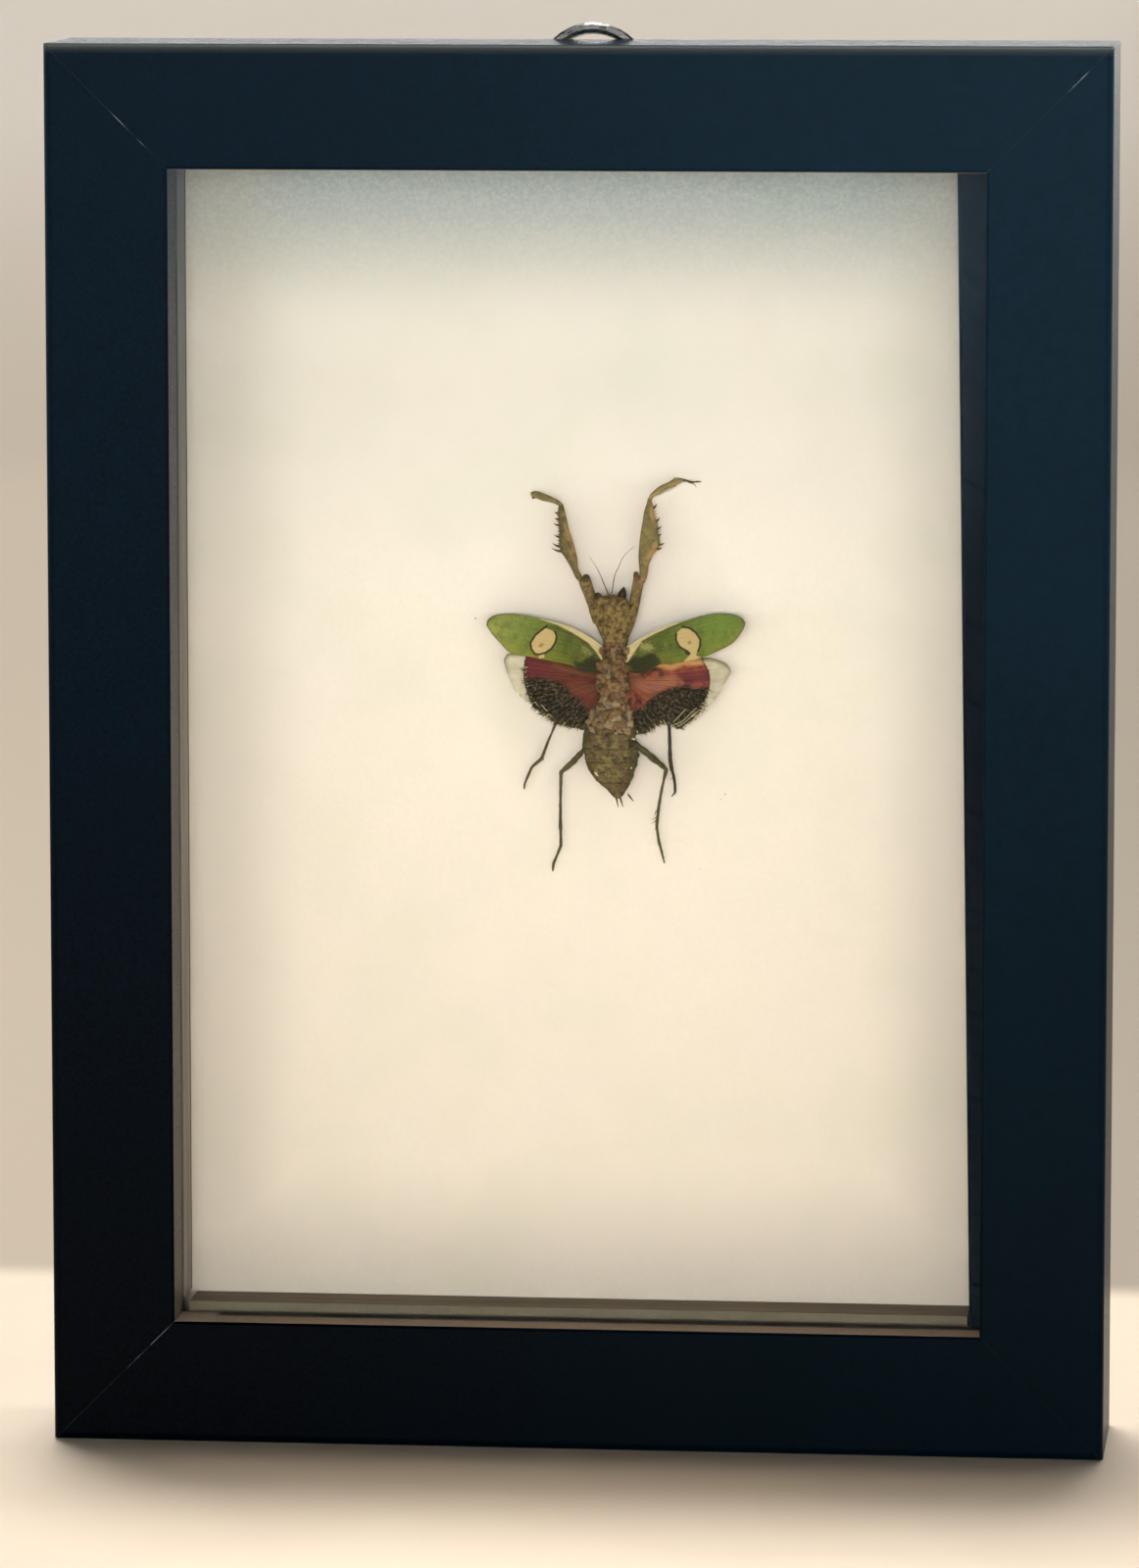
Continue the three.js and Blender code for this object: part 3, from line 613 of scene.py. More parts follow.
def forewing_look(name, wing):
    look = Look(name + "_look", 0.55, 0.14, sheen=0.02)
    along, across = look.value("along"), look.value("across")
    mottle, fine = look.noise(1.6, 4, 0.6), look.noise(0.35, 4, 0.65)
    colour = look.mix(along.ease(0.15, 0.55), wing["root"], wing["middle"])
    colour.lay(along.ease(0.55, 0.9), wing["tip"])
    colour.lay(across.ease(0.5, 0.0, 0, along.ease(0.1, 0.5, 0.6, 0)), (112, 104, 58))
    colour.lay(across.ease(0.55, 1.0, 0, 0.7), look.mix(0.5, colour, (150, 148, 70)))
    colour.lay(mottle.ease(0.42, 0.66, 0, 0.75), look.mix(0.6, colour, (58, 72, 32)))
    colour.lay(look.noise(0.8, 4, 0.65, shift=0.7).ease(0.48, 0.7, 0, 0.5), (128, 132, 78))
    cells = look.texture("TexVoronoi", 0.55, output="Distance", feature="DISTANCE_TO_EDGE")
    veins = cells.ease(0.0, 0.12, 0.3, 0)
    colour.lay(veins, (74, 92, 40))
    colour.lay(fine.ease(0.45, 0.8, 0, 0.3), (150, 165, 96))
    tint = look.mix(along.ease(0.35, 0.8), (0.78, 0.7, 0.4, 1), (1.06, 0.93, 0.64, 1))
    colour.lay(1.0, tint, "MULTIPLY")
    dark = look.value("dark") + (mottle - 0.5) * 3.4
    colour.lay(dark.ease(-0.6, 0.55, 0, 0.92), look.mix(fine, (18, 18, 8), (46, 44, 22)))
    pale = look.value("pale") + (fine - 0.5) * 1.8
    colour.lay(pale.ease(-0.35, 0.5, 0, wing["pale"]), (160, 154, 104))
    cream = look.mix(fine, (172, 156, 108), (214, 196, 150))
    colour.lay(look.value("strip").ease(-0.12, 0.14, 0, 0.92), cream)
    colour.lay(look.value("fold").ease(0.06, 0.28, 0.55, 0), (66, 60, 26))
    spot = look.mix(fine, (174, 149, 101), (194, 170, 118))
    for label in ("tail", "spot"):
        colour.lay(look.value(label).ease(-0.08, 0.08), spot)
    for label in [line for line in wing["lines"] if line in SPOT_RIMS]:
        reach = SPOT_RIMS[label]
        colour.lay(look.value(label).ease(reach - 0.07, reach + 0.07, 0.95, 0), (44, 36, 16))
    colour.lay(look.value("dot").ease(0.08, 0.34, 0.8, 0), (128, 96, 60))
    colour.lay(look.value("rim").ease(0.05, 0.28, 0.75, 0) * along.ease(0.62, 0.8), (96, 84, 58))
    return look.finish(colour, fine * 0.6 + veins * -1.2, 0.05, fine.ease(0.3, 0.7, 0.45, 0.65))


def add_forewing(name):
    """A cover between two edges that both run from root to tip."""
    wing = FOREWINGS[name]
    length, width, camber = 20, 7, 0.35
    columns, rows = int(length / GRID_STEP), int(width / GRID_STEP)
    across, along = np.linspace(0, 1, rows)[:, None, None], np.linspace(0, 1, columns)[None, :]
    leading, trailing = (resample(wing[edge], columns)[None] for edge in ("leading", "trailing"))
    places = leading * (1 - across) + trailing * across
    across, along = np.broadcast_arrays(across[..., 0], along)
    ripple = smooth_noise(spots(places[..., 0], places[..., 1], 0), 4, 3).reshape(rows, columns)
    lift = (FOREWING_LIFT + camber * np.sin(math.pi * across) * (0.4 + 0.6 * along) + 0.12 * ripple * along
            + 0.05 * np.cos(across * 60) * (1 - along))
    border = np.concatenate([places[0], places[:, -1], places[-1, ::-1]])
    material = forewing_look(name, wing)
    add_wing(name, "forewing", material, wing, border, places, lift, along=along, across=across)


HINDWINGS = {
    "hindwing_left": {
        "pivot": (3.4, 9.4),
        "margin": [(2.4, 11.6), (0, 12), (-4, 12.6), (-8, 13), (-11, 13), (-11.6, 12.6), (-11.9, 12),
            (-11.8, 11.4), (-11.6, 10.5), (-11.2, 9.5), (-10.8, 8.6), (-10.4, 7.8), (-9.9, 7.1), (-9.3, 6.4),
            (-8.6, 5.9), (-7.6, 5.1), (-7, 4.7), (-6.4, 4.1), (-5.6, 3.5), (-4.8, 3), (-4.2, 2.6),
            (-3.2, 2.5), (-2.2, 2.2), (-1.2, 2), (-0.3, 1.75), (0.4, 1.8), (1.4, 3.2), (2.4, 5.2)],
        "outlines": {
            "clear": [(-8.75, 14), (-8.75, 12.3), (-8.95, 11.5), (-9.05, 10.5), (-9, 9.5), (-8.85, 8.5),
                (-8.6, 7.5), (-8.25, 6.6), (-7.9, 5.6), (-8.5, 4.4), (-13, 5), (-13.5, 14)],
            "dusky": [(-10, 9.4), (-8.6, 9.4), (-7, 9.6), (-6, 9.4), (-5, 9.2), (-4, 9), (-3.2, 8.3),
                (-2.4, 7.5), (-1.5, 6.8), (-0.6, 6), (0.2, 5.2), (1.2, 4.2), (3, 3.8), (3, 0), (-6, 0),
                (-13, 5)],
        },
        "lines": {
            "plum": [(-8.6, 11.5), (-7.4, 10.8), (-6, 10.2)],
            "bright": [(-6.2, 10.7), (-3.6, 9.9), (-1, 8.6), (1, 6.4)],
            "warm": [(-4.5, 11.3), (-1, 10.4), (1.5, 9.9)],
            "rose": [(-1.5, 8.2), (0.6, 7.6)],
        },
        "fray": [(-8.9, 11.4), (-9.05, 10.5), (-9, 9.5), (-8.85, 8.5), (-8.6, 7.5), (-8.3, 6.6), (-7.6, 5.3),
            (-7, 4.8), (-6.4, 4.2), (-5.6, 3.6), (-4.8, 3.1), (-3.6, 2.6), (-2.2, 2.4), (-0.4, 2)],
        "red": (104, 52, 42), "warm_colour": (116, 74, 52), "rose_colour": (112, 68, 50),
        "bright_colour": (112, 56, 42), "film": 0.3, "seed": 11,
    },
    "hindwing_right": {
        "pivot": (5.4, 9.2),
        "margin": [(6, 11.4), (8, 11.9), (12, 12.3), (15, 12.5), (16.5, 12.65), (18.2, 12.65), (19.2, 12.4),
            (20.2, 12), (20.9, 11.4), (21.2, 10.8), (21.1, 10.3), (20.6, 9.5), (20.1, 8.6), (19.8, 7.8),
            (19.3, 7), (18.8, 6.3), (18.2, 5.7), (17.5, 5.2), (16.7, 4.5), (16, 3.9), (15.2, 3.2),
            (14.4, 2.6), (13.5, 2.1), (12.9, 2.6), (12.3, 2.9), (11.4, 2.8), (10.6, 2.7), (10, 2.3),
            (9.6, 2), (9.3, 1.6), (8.5, 1.4), (7, 1.3), (6.2, 2.2), (5.8, 4.6)],
        "outlines": {
            "clear": [(16.6, 14), (17.4, 11.9), (17.75, 11.2), (18, 10.8), (18.15, 10), (18.2, 9.2), (18, 8),
                (17.7, 7), (17.2, 6), (16.9, 5.3), (17, 4.2), (19, 3.5), (22.5, 7), (22.5, 14)],
            "dusky": [(19, 8.6), (17.5, 8.4), (16.5, 8.3), (15.5, 8.5), (14.4, 8.5), (13.2, 8.4),
                (12.2, 8.1), (11.2, 7.8), (10.4, 7.3), (9.6, 6.6), (9, 5.9), (8.4, 5.4), (7.6, 5),
                (6.9, 4.6), (5, 4.2), (5, 0), (20, 0)],
        },
        "lines": {
            "plum": [(15.2, 9.8), (17.4, 9.9)],
            "bright": [(12, 10.6), (14.5, 10.8), (17.3, 10.9)],
            "warm": [(10.6, 11.6), (12.5, 11.2), (14.2, 11.9), (17, 12)],
            "rose": [(7.2, 9.2), (9.5, 8.2), (12.8, 9.3)],
        },
        "fray": [(18.1, 8.4), (17.8, 7.2), (17.3, 6), (16.7, 4.9), (16, 4.1), (15.2, 3.4), (14.4, 2.8),
            (13.5, 2.3), (12.2, 3), (11, 2.9), (10, 2.4), (9, 1.7), (7.6, 1.5)],
        "red": (150, 86, 62), "warm_colour": (210, 158, 102), "rose_colour": (156, 102, 80),
        "bright_colour": (146, 70, 52), "film": 0, "seed": 12,
    },
}
# Loose ribs near the torn margins
STRAY_RIBS = [
    [(13, 2.9), (14.2, 3.4), (15.4, 4.6), (16.3, 5.4)],
    [(13.6, 2.6), (14.6, 3.3), (15.5, 4.1), (16.6, 5)],
    [(14.3, 2.5), (15.4, 3.3), (16.5, 4.3)],
    [(12.9, 3.3), (13.8, 4.2), (14.7, 5.2)],
    [(15.3, 3.1), (16.4, 4.2), (17.2, 5.4)],
    [(-6.4, 5.6), (-5.9, 5), (-5.5, 4.6)],
    [(-5.3, 4.2), (-4.7, 3.7)],
    [(-7.3, 6), (-6.9, 5.4)],
]


def hindwing_look(name, wing):
    look = Look(name + "_look", 0.6, 0.1)
    mottle, fine, speck = look.noise(1.3, 4, 0.6), look.noise(0.3, 4, 0.7), look.noise(0.4, 3, 0.7, shift=0.3)
    red = look.mix(mottle.ease(0.4, 0.62), wing["red"], (84, 42, 40))
    red.lay(look.noise(0.7, 4, 0.7, shift=0.6).ease(0.48, 0.66, 0, 0.5), (70, 36, 32))
    red.lay(look.value("rose").ease(0.3, 1.5, 0.8, 0), wing["rose_colour"])
    red.lay(look.value("bright").ease(0.1, 0.9, 0.5, 0), wing["bright_colour"])
    red.lay(look.value("plum").ease(0.3, 1.6, 0.85, 0), (101, 40, 50))
    red.lay(look.value("warm").ease(0.1, 0.7, 0.8, 0), wing["warm_colour"])
    dusk = look.mix(mottle.ease(0.35, 0.65), (32, 27, 17), (23, 24, 18))
    dusk.lay(speck.ease(0.5, 0.66, 0, 0.9), (104, 88, 68))
    dusk.lay(look.noise(0.45, 3, 0.7, shift=0.9).ease(0.54, 0.66, 0, 0.8), (24, 20, 14))
    dusk.lay(look.value("rim").ease(0.0, 1.4, 0.6, 0), (66, 68, 34))
    ray = abs(look.calc("SINE", look.value("turn") * 120.0))
    ray_line = ray.ease(0.0, 0.34, 1, 0) * speck.ease(0.3, 0.6)
    dusk.lay(ray_line * 0.6, (118, 106, 88))
    red.lay(ray_line * 0.25, (170, 104, 84))
    ragged = look.value("dusky") + (fine - 0.5) * 0.9
    colour = look.mix(ragged.ease(-0.35, 0.35), red, dusk)
    colour.lay(fine.ease(0.45, 0.8, 0, 0.14), (150, 124, 98))
    film = look.mix(mottle.ease(0.35, 0.65), (222, 212, 184), (204, 196, 164))
    film.lay(wing["film"], (246, 236, 212))
    upper = look.axes()[2].ease(MIDDLE_Z + 8 * MM, MIDDLE_Z + 12.5 * MM)
    film.lay(look.value("rim").ease(0.0, 0.8, 0.9, 0) * upper, (116, 110, 76))
    clear = look.value("clear") + (fine - 0.5) * 0.5
    in_film = clear.ease(-0.06, 0.1)
    colour.lay(clear.ease(-0.5, 0.0, 0, 0.7), (56, 34, 26))
    colour.lay(in_film, film)
    look.feed(look.shader["Alpha"], in_film.ease(0, 1, 1.0, upper.ease(0, 1, 0.38, 0.66)))
    return look.finish(colour, fine + speck + ray * 0.5, 0.16, fine.ease(0.3, 0.7, 0.45, 0.7))


def add_hindwing(name):
    """A fan of pleats from its pivot to a margin that is torn along its lower half."""
    wing, rows, columns = HINDWINGS[name], 84, 330
    pivot = np.array(wing["pivot"])
    margin = resample(wing["margin"], columns)
    turn = np.linspace(0, 1, columns)
    rng = np.random.default_rng(wing["seed"])
    torn = np.array([noise.noise(Vector((k * 0.21, 4.2, 1.1))) for k in range(columns)])
    lower = np.clip((turn - 0.5) * 8, 0, 1) * np.clip((0.93 - turn) * 14, 0, 1)
    nick = (rng.random(columns) < 0.22) * rng.random(columns)
    reach = 1 - lower * (0.02 * (torn + 0.6) + 0.035 * nick)
    share = np.linspace(0.02, 1, rows)[:, None, None]
    edge = pivot + (margin - pivot) * reach[:, None]
    places = pivot + (edge[None] - pivot) * share
    out, turn = np.broadcast_arrays(share[..., 0], turn[None, :])
    ripple = smooth_noise(spots(places[..., 0], places[..., 1], 0), 2.6, 5).reshape(rows, columns)
    pleat = np.abs(((turn * 15) % 1) * 2 - 1) - 0.5
    lift = HINDWING_LIFT + 0.3 * pleat * out * np.clip((turn - 0.3) * 4, 0.15, 1) + 0.12 * ripple * out
    lift = np.minimum(lift, FOREWING_LIFT - WING_THICKNESS - 0.1)
    add_wing(name, "hindwing", hindwing_look(name, wing), wing, margin, places, lift, turn=turn)


def fray_look():
    look = Look("fray_look", 0.7, 0.2)
    speck = look.noise(0.9, 3, 0.7)
    colour = look.mix(speck, (44, 38, 24), (80, 72, 44))
    colour.lay(look.value("pale").ease(0.4, 0.6), look.mix(speck, (206, 196, 160), (170, 160, 122)))
    return look.finish(colour, roughness=speck.ease(0.3, 0.7, 0.6, 0.8))


def add_fray():
    """The frayed margins of the hind wings, drawn out as fine hairs, and a few loose ribs."""
    rng = random.Random(21)
    piece = Piece()
    for wing in HINDWINGS.values():
        pivot = Vector(wing["pivot"])
        for place in resample(wing["fray"], 520):
            place = Vector(place)
            away = (place - pivot).normalized()
            away.rotate(Matrix.Rotation(rng.uniform(-0.5, 0.5), 2))
            length = rng.uniform(0.15, 0.5) + 0.7 * rng.random() ** 6
            start = place - away * rng.uniform(0.2, 0.6)
            middle = start + away * length * 0.6
            away.rotate(Matrix.Rotation(rng.uniform(-0.4, 0.4), 2))
            end = middle + away * length * 0.5
            lift = HINDWING_LIFT + rng.uniform(-0.2, 0.15)
            joints = [(*start, lift, 0.055), (*middle, lift + rng.uniform(-0.2, 0.1), 0.042),
                      (*end, lift - rng.uniform(0, 0.3), 0.012)]
            tube(piece, joints, sides=4, step=1, pale=float(rng.random() < 0.18))
    for rib in STRAY_RIBS:
        lift = HINDWING_LIFT + 0.28
        joints = np.array([(*place, lift + rng.uniform(-0.05, 0.05), 0.05) for place in resample(rib, 8)])
        joints[[0, -1], 3] = 0.03
        tube(piece, joints, sides=6, step=0.2, pale=1.0)
    piece.make("hindwing_fray", [], "hindwing", fray_look())


# Body: rows of x, up and half width along the middle of each part

ABDOMEN = [(4.75, -8.1, 0.35), (4.7, -7.5, 0.95), (4.6, -7, 1.3), (4.3, -6, 2.1), (4.05, -5, 2.8),
    (3.9, -3.6, 3.4), (3.8, -2, 3.85), (3.75, -0.5, 3.95), (3.7, 1, 3.75), (3.7, 2.7, 3.5),
    (3.72, 4.3, 3.25), (3.9, 5.4, 2.7), (4.1, 6.8, 1.8)]
THORAX = [(4.1, 5.4, 2), (4.1, 7.5, 2.25), (4.1, 9.5, 2.3), (4.2, 11.5, 2.25), (4.35, 13.2, 1.9),
    (4.4, 14.9, 1.5)]
PROTHORAX = [(4.4, 13.4, 1.5), (4.35, 15, 1.8), (4.25, 16.3, 2.1), (4.15, 17.5, 2.45), (4, 18.7, 2.7),
    (3.85, 19.9, 2.7), (3.75, 20.8, 2.2), (3.7, 21.4, 1.3)]
BODY_LIFT = 2.15
# Each part with its flatness, where its segments end, its roughness and its tones
BODY_PARTS = [(ABDOMEN, 0.45, (-6.9, -5.7, -4.2, -2.6, -0.6, 1.7, 3.6, 5.2), 0.05, {"green": 0.12}),
              (THORAX, 0.82, (7.9, 10.4, 12.6), 0.12, {}),
              (PROTHORAX, 0.62, (), 0.07, {"tan": 0.85})]

# Pale knobs over the root of the abdomen: x, up, half width and half height
KNOBS = [(2.5, 5.2, 0.75, 0.5), (3.5, 5.9, 0.7, 0.45), (4.65, 5.9, 0.75, 0.45), (5.65, 5.3, 0.7, 0.6),
    (6.3, 4.3, 0.5, 0.7), (6.5, 3, 0.5, 0.65), (1.15, 4.2, 0.5, 0.75), (0.85, 3, 0.55, 0.6),
    (1.4, 2.1, 0.7, 0.4), (3.5, 4.5, 0.8, 0.5), (2.4, 3.7, 0.6, 0.5), (4.6, 3.8, 0.7, 0.5),
    (5.6, 3.3, 0.55, 0.6), (3.5, 2.9, 0.8, 0.45), (4.5, 2.1, 0.9, 0.4), (2.3, 2.5, 0.5, 0.4),
    (6, 2, 0.6, 0.4)]
# Ridges and lobes of the thorax where the wings are hinged: x, up, half width, half height, turn
RIDGES = [(2.9, 13.1, 0.5, 1.2, 0.45), (5.8, 13, 0.5, 1.2, -0.45), (4.3, 13.2, 0.45, 1, 0),
    (2.3, 11.2, 0.6, 0.7, 0.3), (6.3, 11.1, 0.6, 0.7, -0.3), (3.5, 10.8, 0.5, 1.2, 0.2),
    (4.9, 10.4, 0.5, 1.4, -0.15), (2.2, 8.6, 0.45, 0.9, 0.2), (5.9, 8.3, 0.45, 0.9, -0.2),
    (3.3, 8.4, 0.5, 1.1, -0.2), (4.6, 7.9, 0.7, 0.8, 0.4), (3.2, 6.7, 0.8, 0.45, 0.3),
    (5.2, 6.6, 0.7, 0.45, -0.3)]
# Dark furrows: the ends of each in x and up, and its radius
FURROWS = [((2.5, 12.4), (4.2, 14.3), 0.2), ((4.75, 14.7), (5.75, 12.9), 0.22), ((4.6, 16.3),
    (5.4, 17.1), 0.26), ((2, 9.8), (2.15, 7.2), 0.34), ((6, 9.6), (5.9, 7.3), 0.34), ((3.9, 12.2),
    (4, 9.4), 0.12), ((2.4, 6), (3.3, 5.6), 0.2), ((5.9, 6), (5, 5.6), 0.2), ((2.9, 19.6),
    (4.7, 19.2), 0.16)]
# The head, a wide wedge, and its left eye: x, up, lift off the body's middle, half sizes, turn, depth and
# size of dents, seed and tones
HEAD = [(3.7, 20.7, 0.35, 2.6, 0.95, 1.2, 0, 0.12, 0.9, 5, {"tan": 0.4}),
        (3.7, 20.1, 0.35, 2.2, 0.8, 1.45, 0, 0.15, 0.9, 15, {"tan": 0.4}),
        (2.5, 20.9, 0.9, 0.9, 0.6, 0.75, 0.2, 0.25, 0.6, 17, {"tan": 0.9}),
        (1.3, 18.6, 0.5, 0.5, 1.6, 0.5, 0.35, 0.3, 0.7, 18, {"tan": 0.9}),
        (6.6, 18.9, 0.5, 0.5, 1.6, 0.5, -0.3, 0.3, 0.7, 19, {"tan": 0.9}),
        (3.3, 21.55, 0.3, 0.32, 0.4, 0.35, 0, 0.2, 0.6, 6, {"pale": 0.3}),
        (4.1, 21.5, 0.3, 0.3, 0.42, 0.35, 0, 0.2, 0.6, 7, {"pale": 0.15}),
        (2.7, 20.5, 0.6, 0.95, 0.4, 0.6, 0.6, 0.2, 0.6, 8, {"pale": 0.2}),
        (4.75, 20.45, 0.6, 1, 0.36, 0.6, -0.6, 0.2, 0.6, 9, {"dark": 0.45}),
        (1.85, 21.3, 0.2, 0.62, 0.72, 0.75, 0.45, 0.05, 0.6, 10, {"dark": 0.7})]
# The right eye, drawn out to a point: x, up and radius
RIGHT_EYE = [(5.15, 21, 0.62), (5.35, 21.7, 0.66), (5.5, 22.3, 0.44), (5.62, 22.8, 0.12)]
# The two short tails: x and up of the root and of the tip
CERCI = [(4.4, -7.6, 4.8, -9.4), (4.95, -7.6, 5.45, -9.3)]
# Pale flecks along the edges of the abdomen: x, up, half width and turn
FLECKS = [(1.75, -4.4, 0.4, -0.7), (7.1, -1.75, 0.36, 0.4), (7, 0.7, 0.36, 0), (1.5, 1.2, 0.25, 0.6),
    (6.75, -3.5, 0.24, 0.8)]
# Antennae: x, up, lift and radius along each
ANTENNAE = [[(3.3, 21.9, 2.4, 0.09), (2.2, 24.6, 2.5, 0.05), (1.5, 25.9, 2.3, 0.03), (0.6, 27.2, 2.1, 0.018)],
            [(3.9, 21.9, 2.4, 0.09), (4.3, 24.5, 2.6, 0.055), (4.9, 25.8, 2.6, 0.045), (5.4, 27, 2.5, 0.038),
             (6.2, 28, 2.4, 0.03), (7.2, 28.8, 2.2, 0.02)]]


def body_part(piece, rows, flatness, segments, rough, seed, **values):
    """Rings round the line of the body, stepped where one segment overlaps the next."""
    rows = np.array(rows)
    count, sides = int((rows[-1, 1] - rows[0, 1]) / 0.09), 72
    line = resample(rows, count)
    line = line[np.argsort(line[:, 1])]
    middle, height = line[:, 0, None], line[:, 1, None]
    angle = around(sides)
    half = 0.35 * np.interp(line[:, 1], rows[:, 1], rows[:, 2]) + 0.65 * line[:, 2]
    step = np.zeros(count)
    for end in segments:
        past = line[:, 1] - end
        step += np.where((past > 0) & (past < 1.6), 0.05 * np.exp(-past / 0.6), 0)
        step -= 0.07 * np.exp(-(past / 0.12) ** 2)
    x = middle + (half * (1 + 0.6 * step))[:, None] * np.cos(angle)
    lift = BODY_LIFT + (half * flatness)[:, None] * np.sin(angle) * (1 + 2.4 * step)[:, None]
    points = spots(x, height, lift).reshape(-1, 3)
    lumps = smooth_noise(points, 1.1, seed) * rough * 1.6 + smooth_noise(points, 0.45, seed + 1) * rough
    core = np.repeat(spots(line[:, 0], line[:, 1], BODY_LIFT), sides, axis=0)
    points = core + (points - core) * (1 + lumps)[:, None]
    seam = np.exp(-(np.abs(height - np.array(segments or [99])).min(1) / 0.14) ** 2)
    rust = np.clip((line[:, 1] - 1.2) / 2.5, 0, 1) * np.clip((16 - line[:, 1]) / 3, 0, 1)
    dusk = np.clip((2.6 - line[:, 1]) / 1.6, 0, 1)
    piece.add(points, skin_faces(count, sides), seam=np.repeat(seam, sides), rust=np.repeat(rust, sides),
              dusk=np.repeat(dusk, sides), side=np.tile(np.abs(np.cos(angle)), count), **values)


def surface_lift(x, up):
    """Lift of the body's surface at a place."""
    best = BODY_LIFT
    for rows, flatness, *_ in BODY_PARTS:
        table = np.array(rows)
        if table[0, 1] <= up <= table[-1, 1]:
            middle, half = (float(np.interp(up, table[:, 1], table[:, k])) for k in (0, 2))
            share = min(abs(x - middle) / half, 0.97)
            best = max(best, BODY_LIFT + half * flatness * math.sqrt(1 - share * share))
    return best


def body_look():
    """Mottled brown cuticle with pale lichen-like spots and dark seams."""
    look = Look("insect_body_look", 0.62, 0.25)
    broad, fine = look.noise(2.2, 4, 0.6), look.noise(0.28, 4, 0.7)
    mottle = look.noise(0.8, 5, 0.65, warp=0.4)
    colour = look.mix(mottle.ease(0.38, 0.6), (62, 48, 28), (118, 96, 66))
    rust = look.mix(mottle.ease(0.38, 0.6), (84, 58, 40), (146, 116, 88))
    colour.lay(look.value("rust") * broad.ease(0.3, 0.6), rust)
    dusk = look.mix(mottle.ease(0.4, 0.58), (42, 35, 20), (108, 98, 62))
    dusk.lay(look.noise(2.6, 3, 0.6, shift=0.3).ease(0.4, 0.58, 0, 0.85), (104, 82, 66))
    dusk.lay(look.noise(1.7, 4, 0.65, shift=1.4).ease(0.5, 0.6, 0, 0.8), (134, 128, 84))
    colour.lay(look.value("dusk"), dusk)
    colour.lay(look.value("tan"), look.mix(mottle.ease(0.36, 0.62), (76, 64, 36), (144, 128, 80)))
    colour.lay(look.noise(0.75, 3, 0.6, shift=0.21).ease(0.55, 0.7, 0, 0.45), (156, 140, 100))
    colour.lay(look.noise(0.55, 3, 0.6, shift=0.5).ease(0.55, 0.68, 0, 0.6), (40, 32, 17))
    colour.lay(fine.ease(0.45, 0.75, 0, 0.35), (144, 128, 94))
    colour.lay(look.value("seam") * look.noise(1.2, 2, shift=0.8).ease(0.4, 0.62, 0, 0.55), (36, 29, 15))
    colour.lay(look.value("green") * mottle.ease(0.3, 0.6), (84, 92, 34))
    side = look.value("side")
    colour.lay(side.ease(0.9, 1.0, 0, 0.45), (62, 58, 26))
    flank = side.ease(0.55, 1.0, 0, 0.7) * look.value("dusk")
    colour.lay(flank * broad.ease(0.3, 0.6, 0.4, 1), (50, 52, 22))
    colour.lay(look.value("dark") * fine.ease(0.2, 0.8, 1, 0.7), (46, 36, 22))
    colour.lay(1.0, (0.88, 0.8, 0.66, 1), "MULTIPLY")
    colour.lay(look.value("pale"), look.mix(fine, (198, 184, 146), (226, 216, 188)))
    return look.finish(colour, mottle * 1.4 + fine, 0.12, fine.ease(0.3, 0.7, 0.5, 0.75))


def add_body(material):
    piece = Piece()
    for seed, (rows, flatness, segments, rough, tones) in enumerate(BODY_PARTS, 1):
        body_part(piece, rows, flatness, segments, rough, seed, **tones)
    for k, (x, up, half_x, half_up, turn) in enumerate(RIDGES):
        blob(piece, x, up, surface_lift(x, up) - 0.3, half_x * 1.15, half_up * 1.1, 0.5, turn, 0.55, 0.6, k,
             rust=0.85, pale=0.06 * (k % 3))
    for k, (x, up, half_x, half_up) in enumerate(KNOBS):
        turn = 0.4 * math.sin(3 * k)
        blob(piece, x, up, surface_lift(x, up) - 0.2, half_x * 1.15, half_up * 1.25, 0.36, turn, 0.55, 0.55,
             k + 40, rust=0.85, pale=0.05 + 0.1 * (k % 3))
    for start, end, radius in FURROWS:
        joints = [(*start, surface_lift(*start) - 0.02, radius),
                  (*end, surface_lift(*end) - 0.02, radius * 0.7)]
        tube(piece, joints, sides=12, step=0.12, flat=0.5, wobble=0.4, dark=0.75)
    for x, up, lift, *shape, tones in HEAD:
        blob(piece, x, up, BODY_LIFT + lift, *shape, **tones)
    tube(piece, [(x, up, BODY_LIFT, radius) for x, up, radius in RIGHT_EYE], sides=24, step=0.08, dark=0.85)
    for x, up, end_x, end_up in CERCI:
        joints = [(x, up, BODY_LIFT, 0.2), ((x + end_x) / 2, (up + end_up) / 2 + 0.1, BODY_LIFT, 0.13),
            (end_x, end_up, BODY_LIFT - 0.2, 0.05)]
        tube(piece, joints, sides=10, step=0.12, wobble=0.2, dark=0.7)
    for x, up, half, turn in FLECKS:
        lift = BODY_LIFT + 1.35 - 0.16 * abs(x - 3.9) ** 1.3
        blob(piece, x, up, lift, half, half * 0.45, 0.16, turn, 0.35, 0.4, int(up * 3), pale=0.85)
    piece.make("mantis_body_whole", ["mantis_body"], "insect_body", material)


def add_antennae(material):
    piece = Piece()
    for line in ANTENNAE:
        tube(piece, resample(line, 60), sides=6, step=0.1, wobble=0.3, dark=0.3)
    piece.make("antennae", [], "insect_body", material)


# Legs

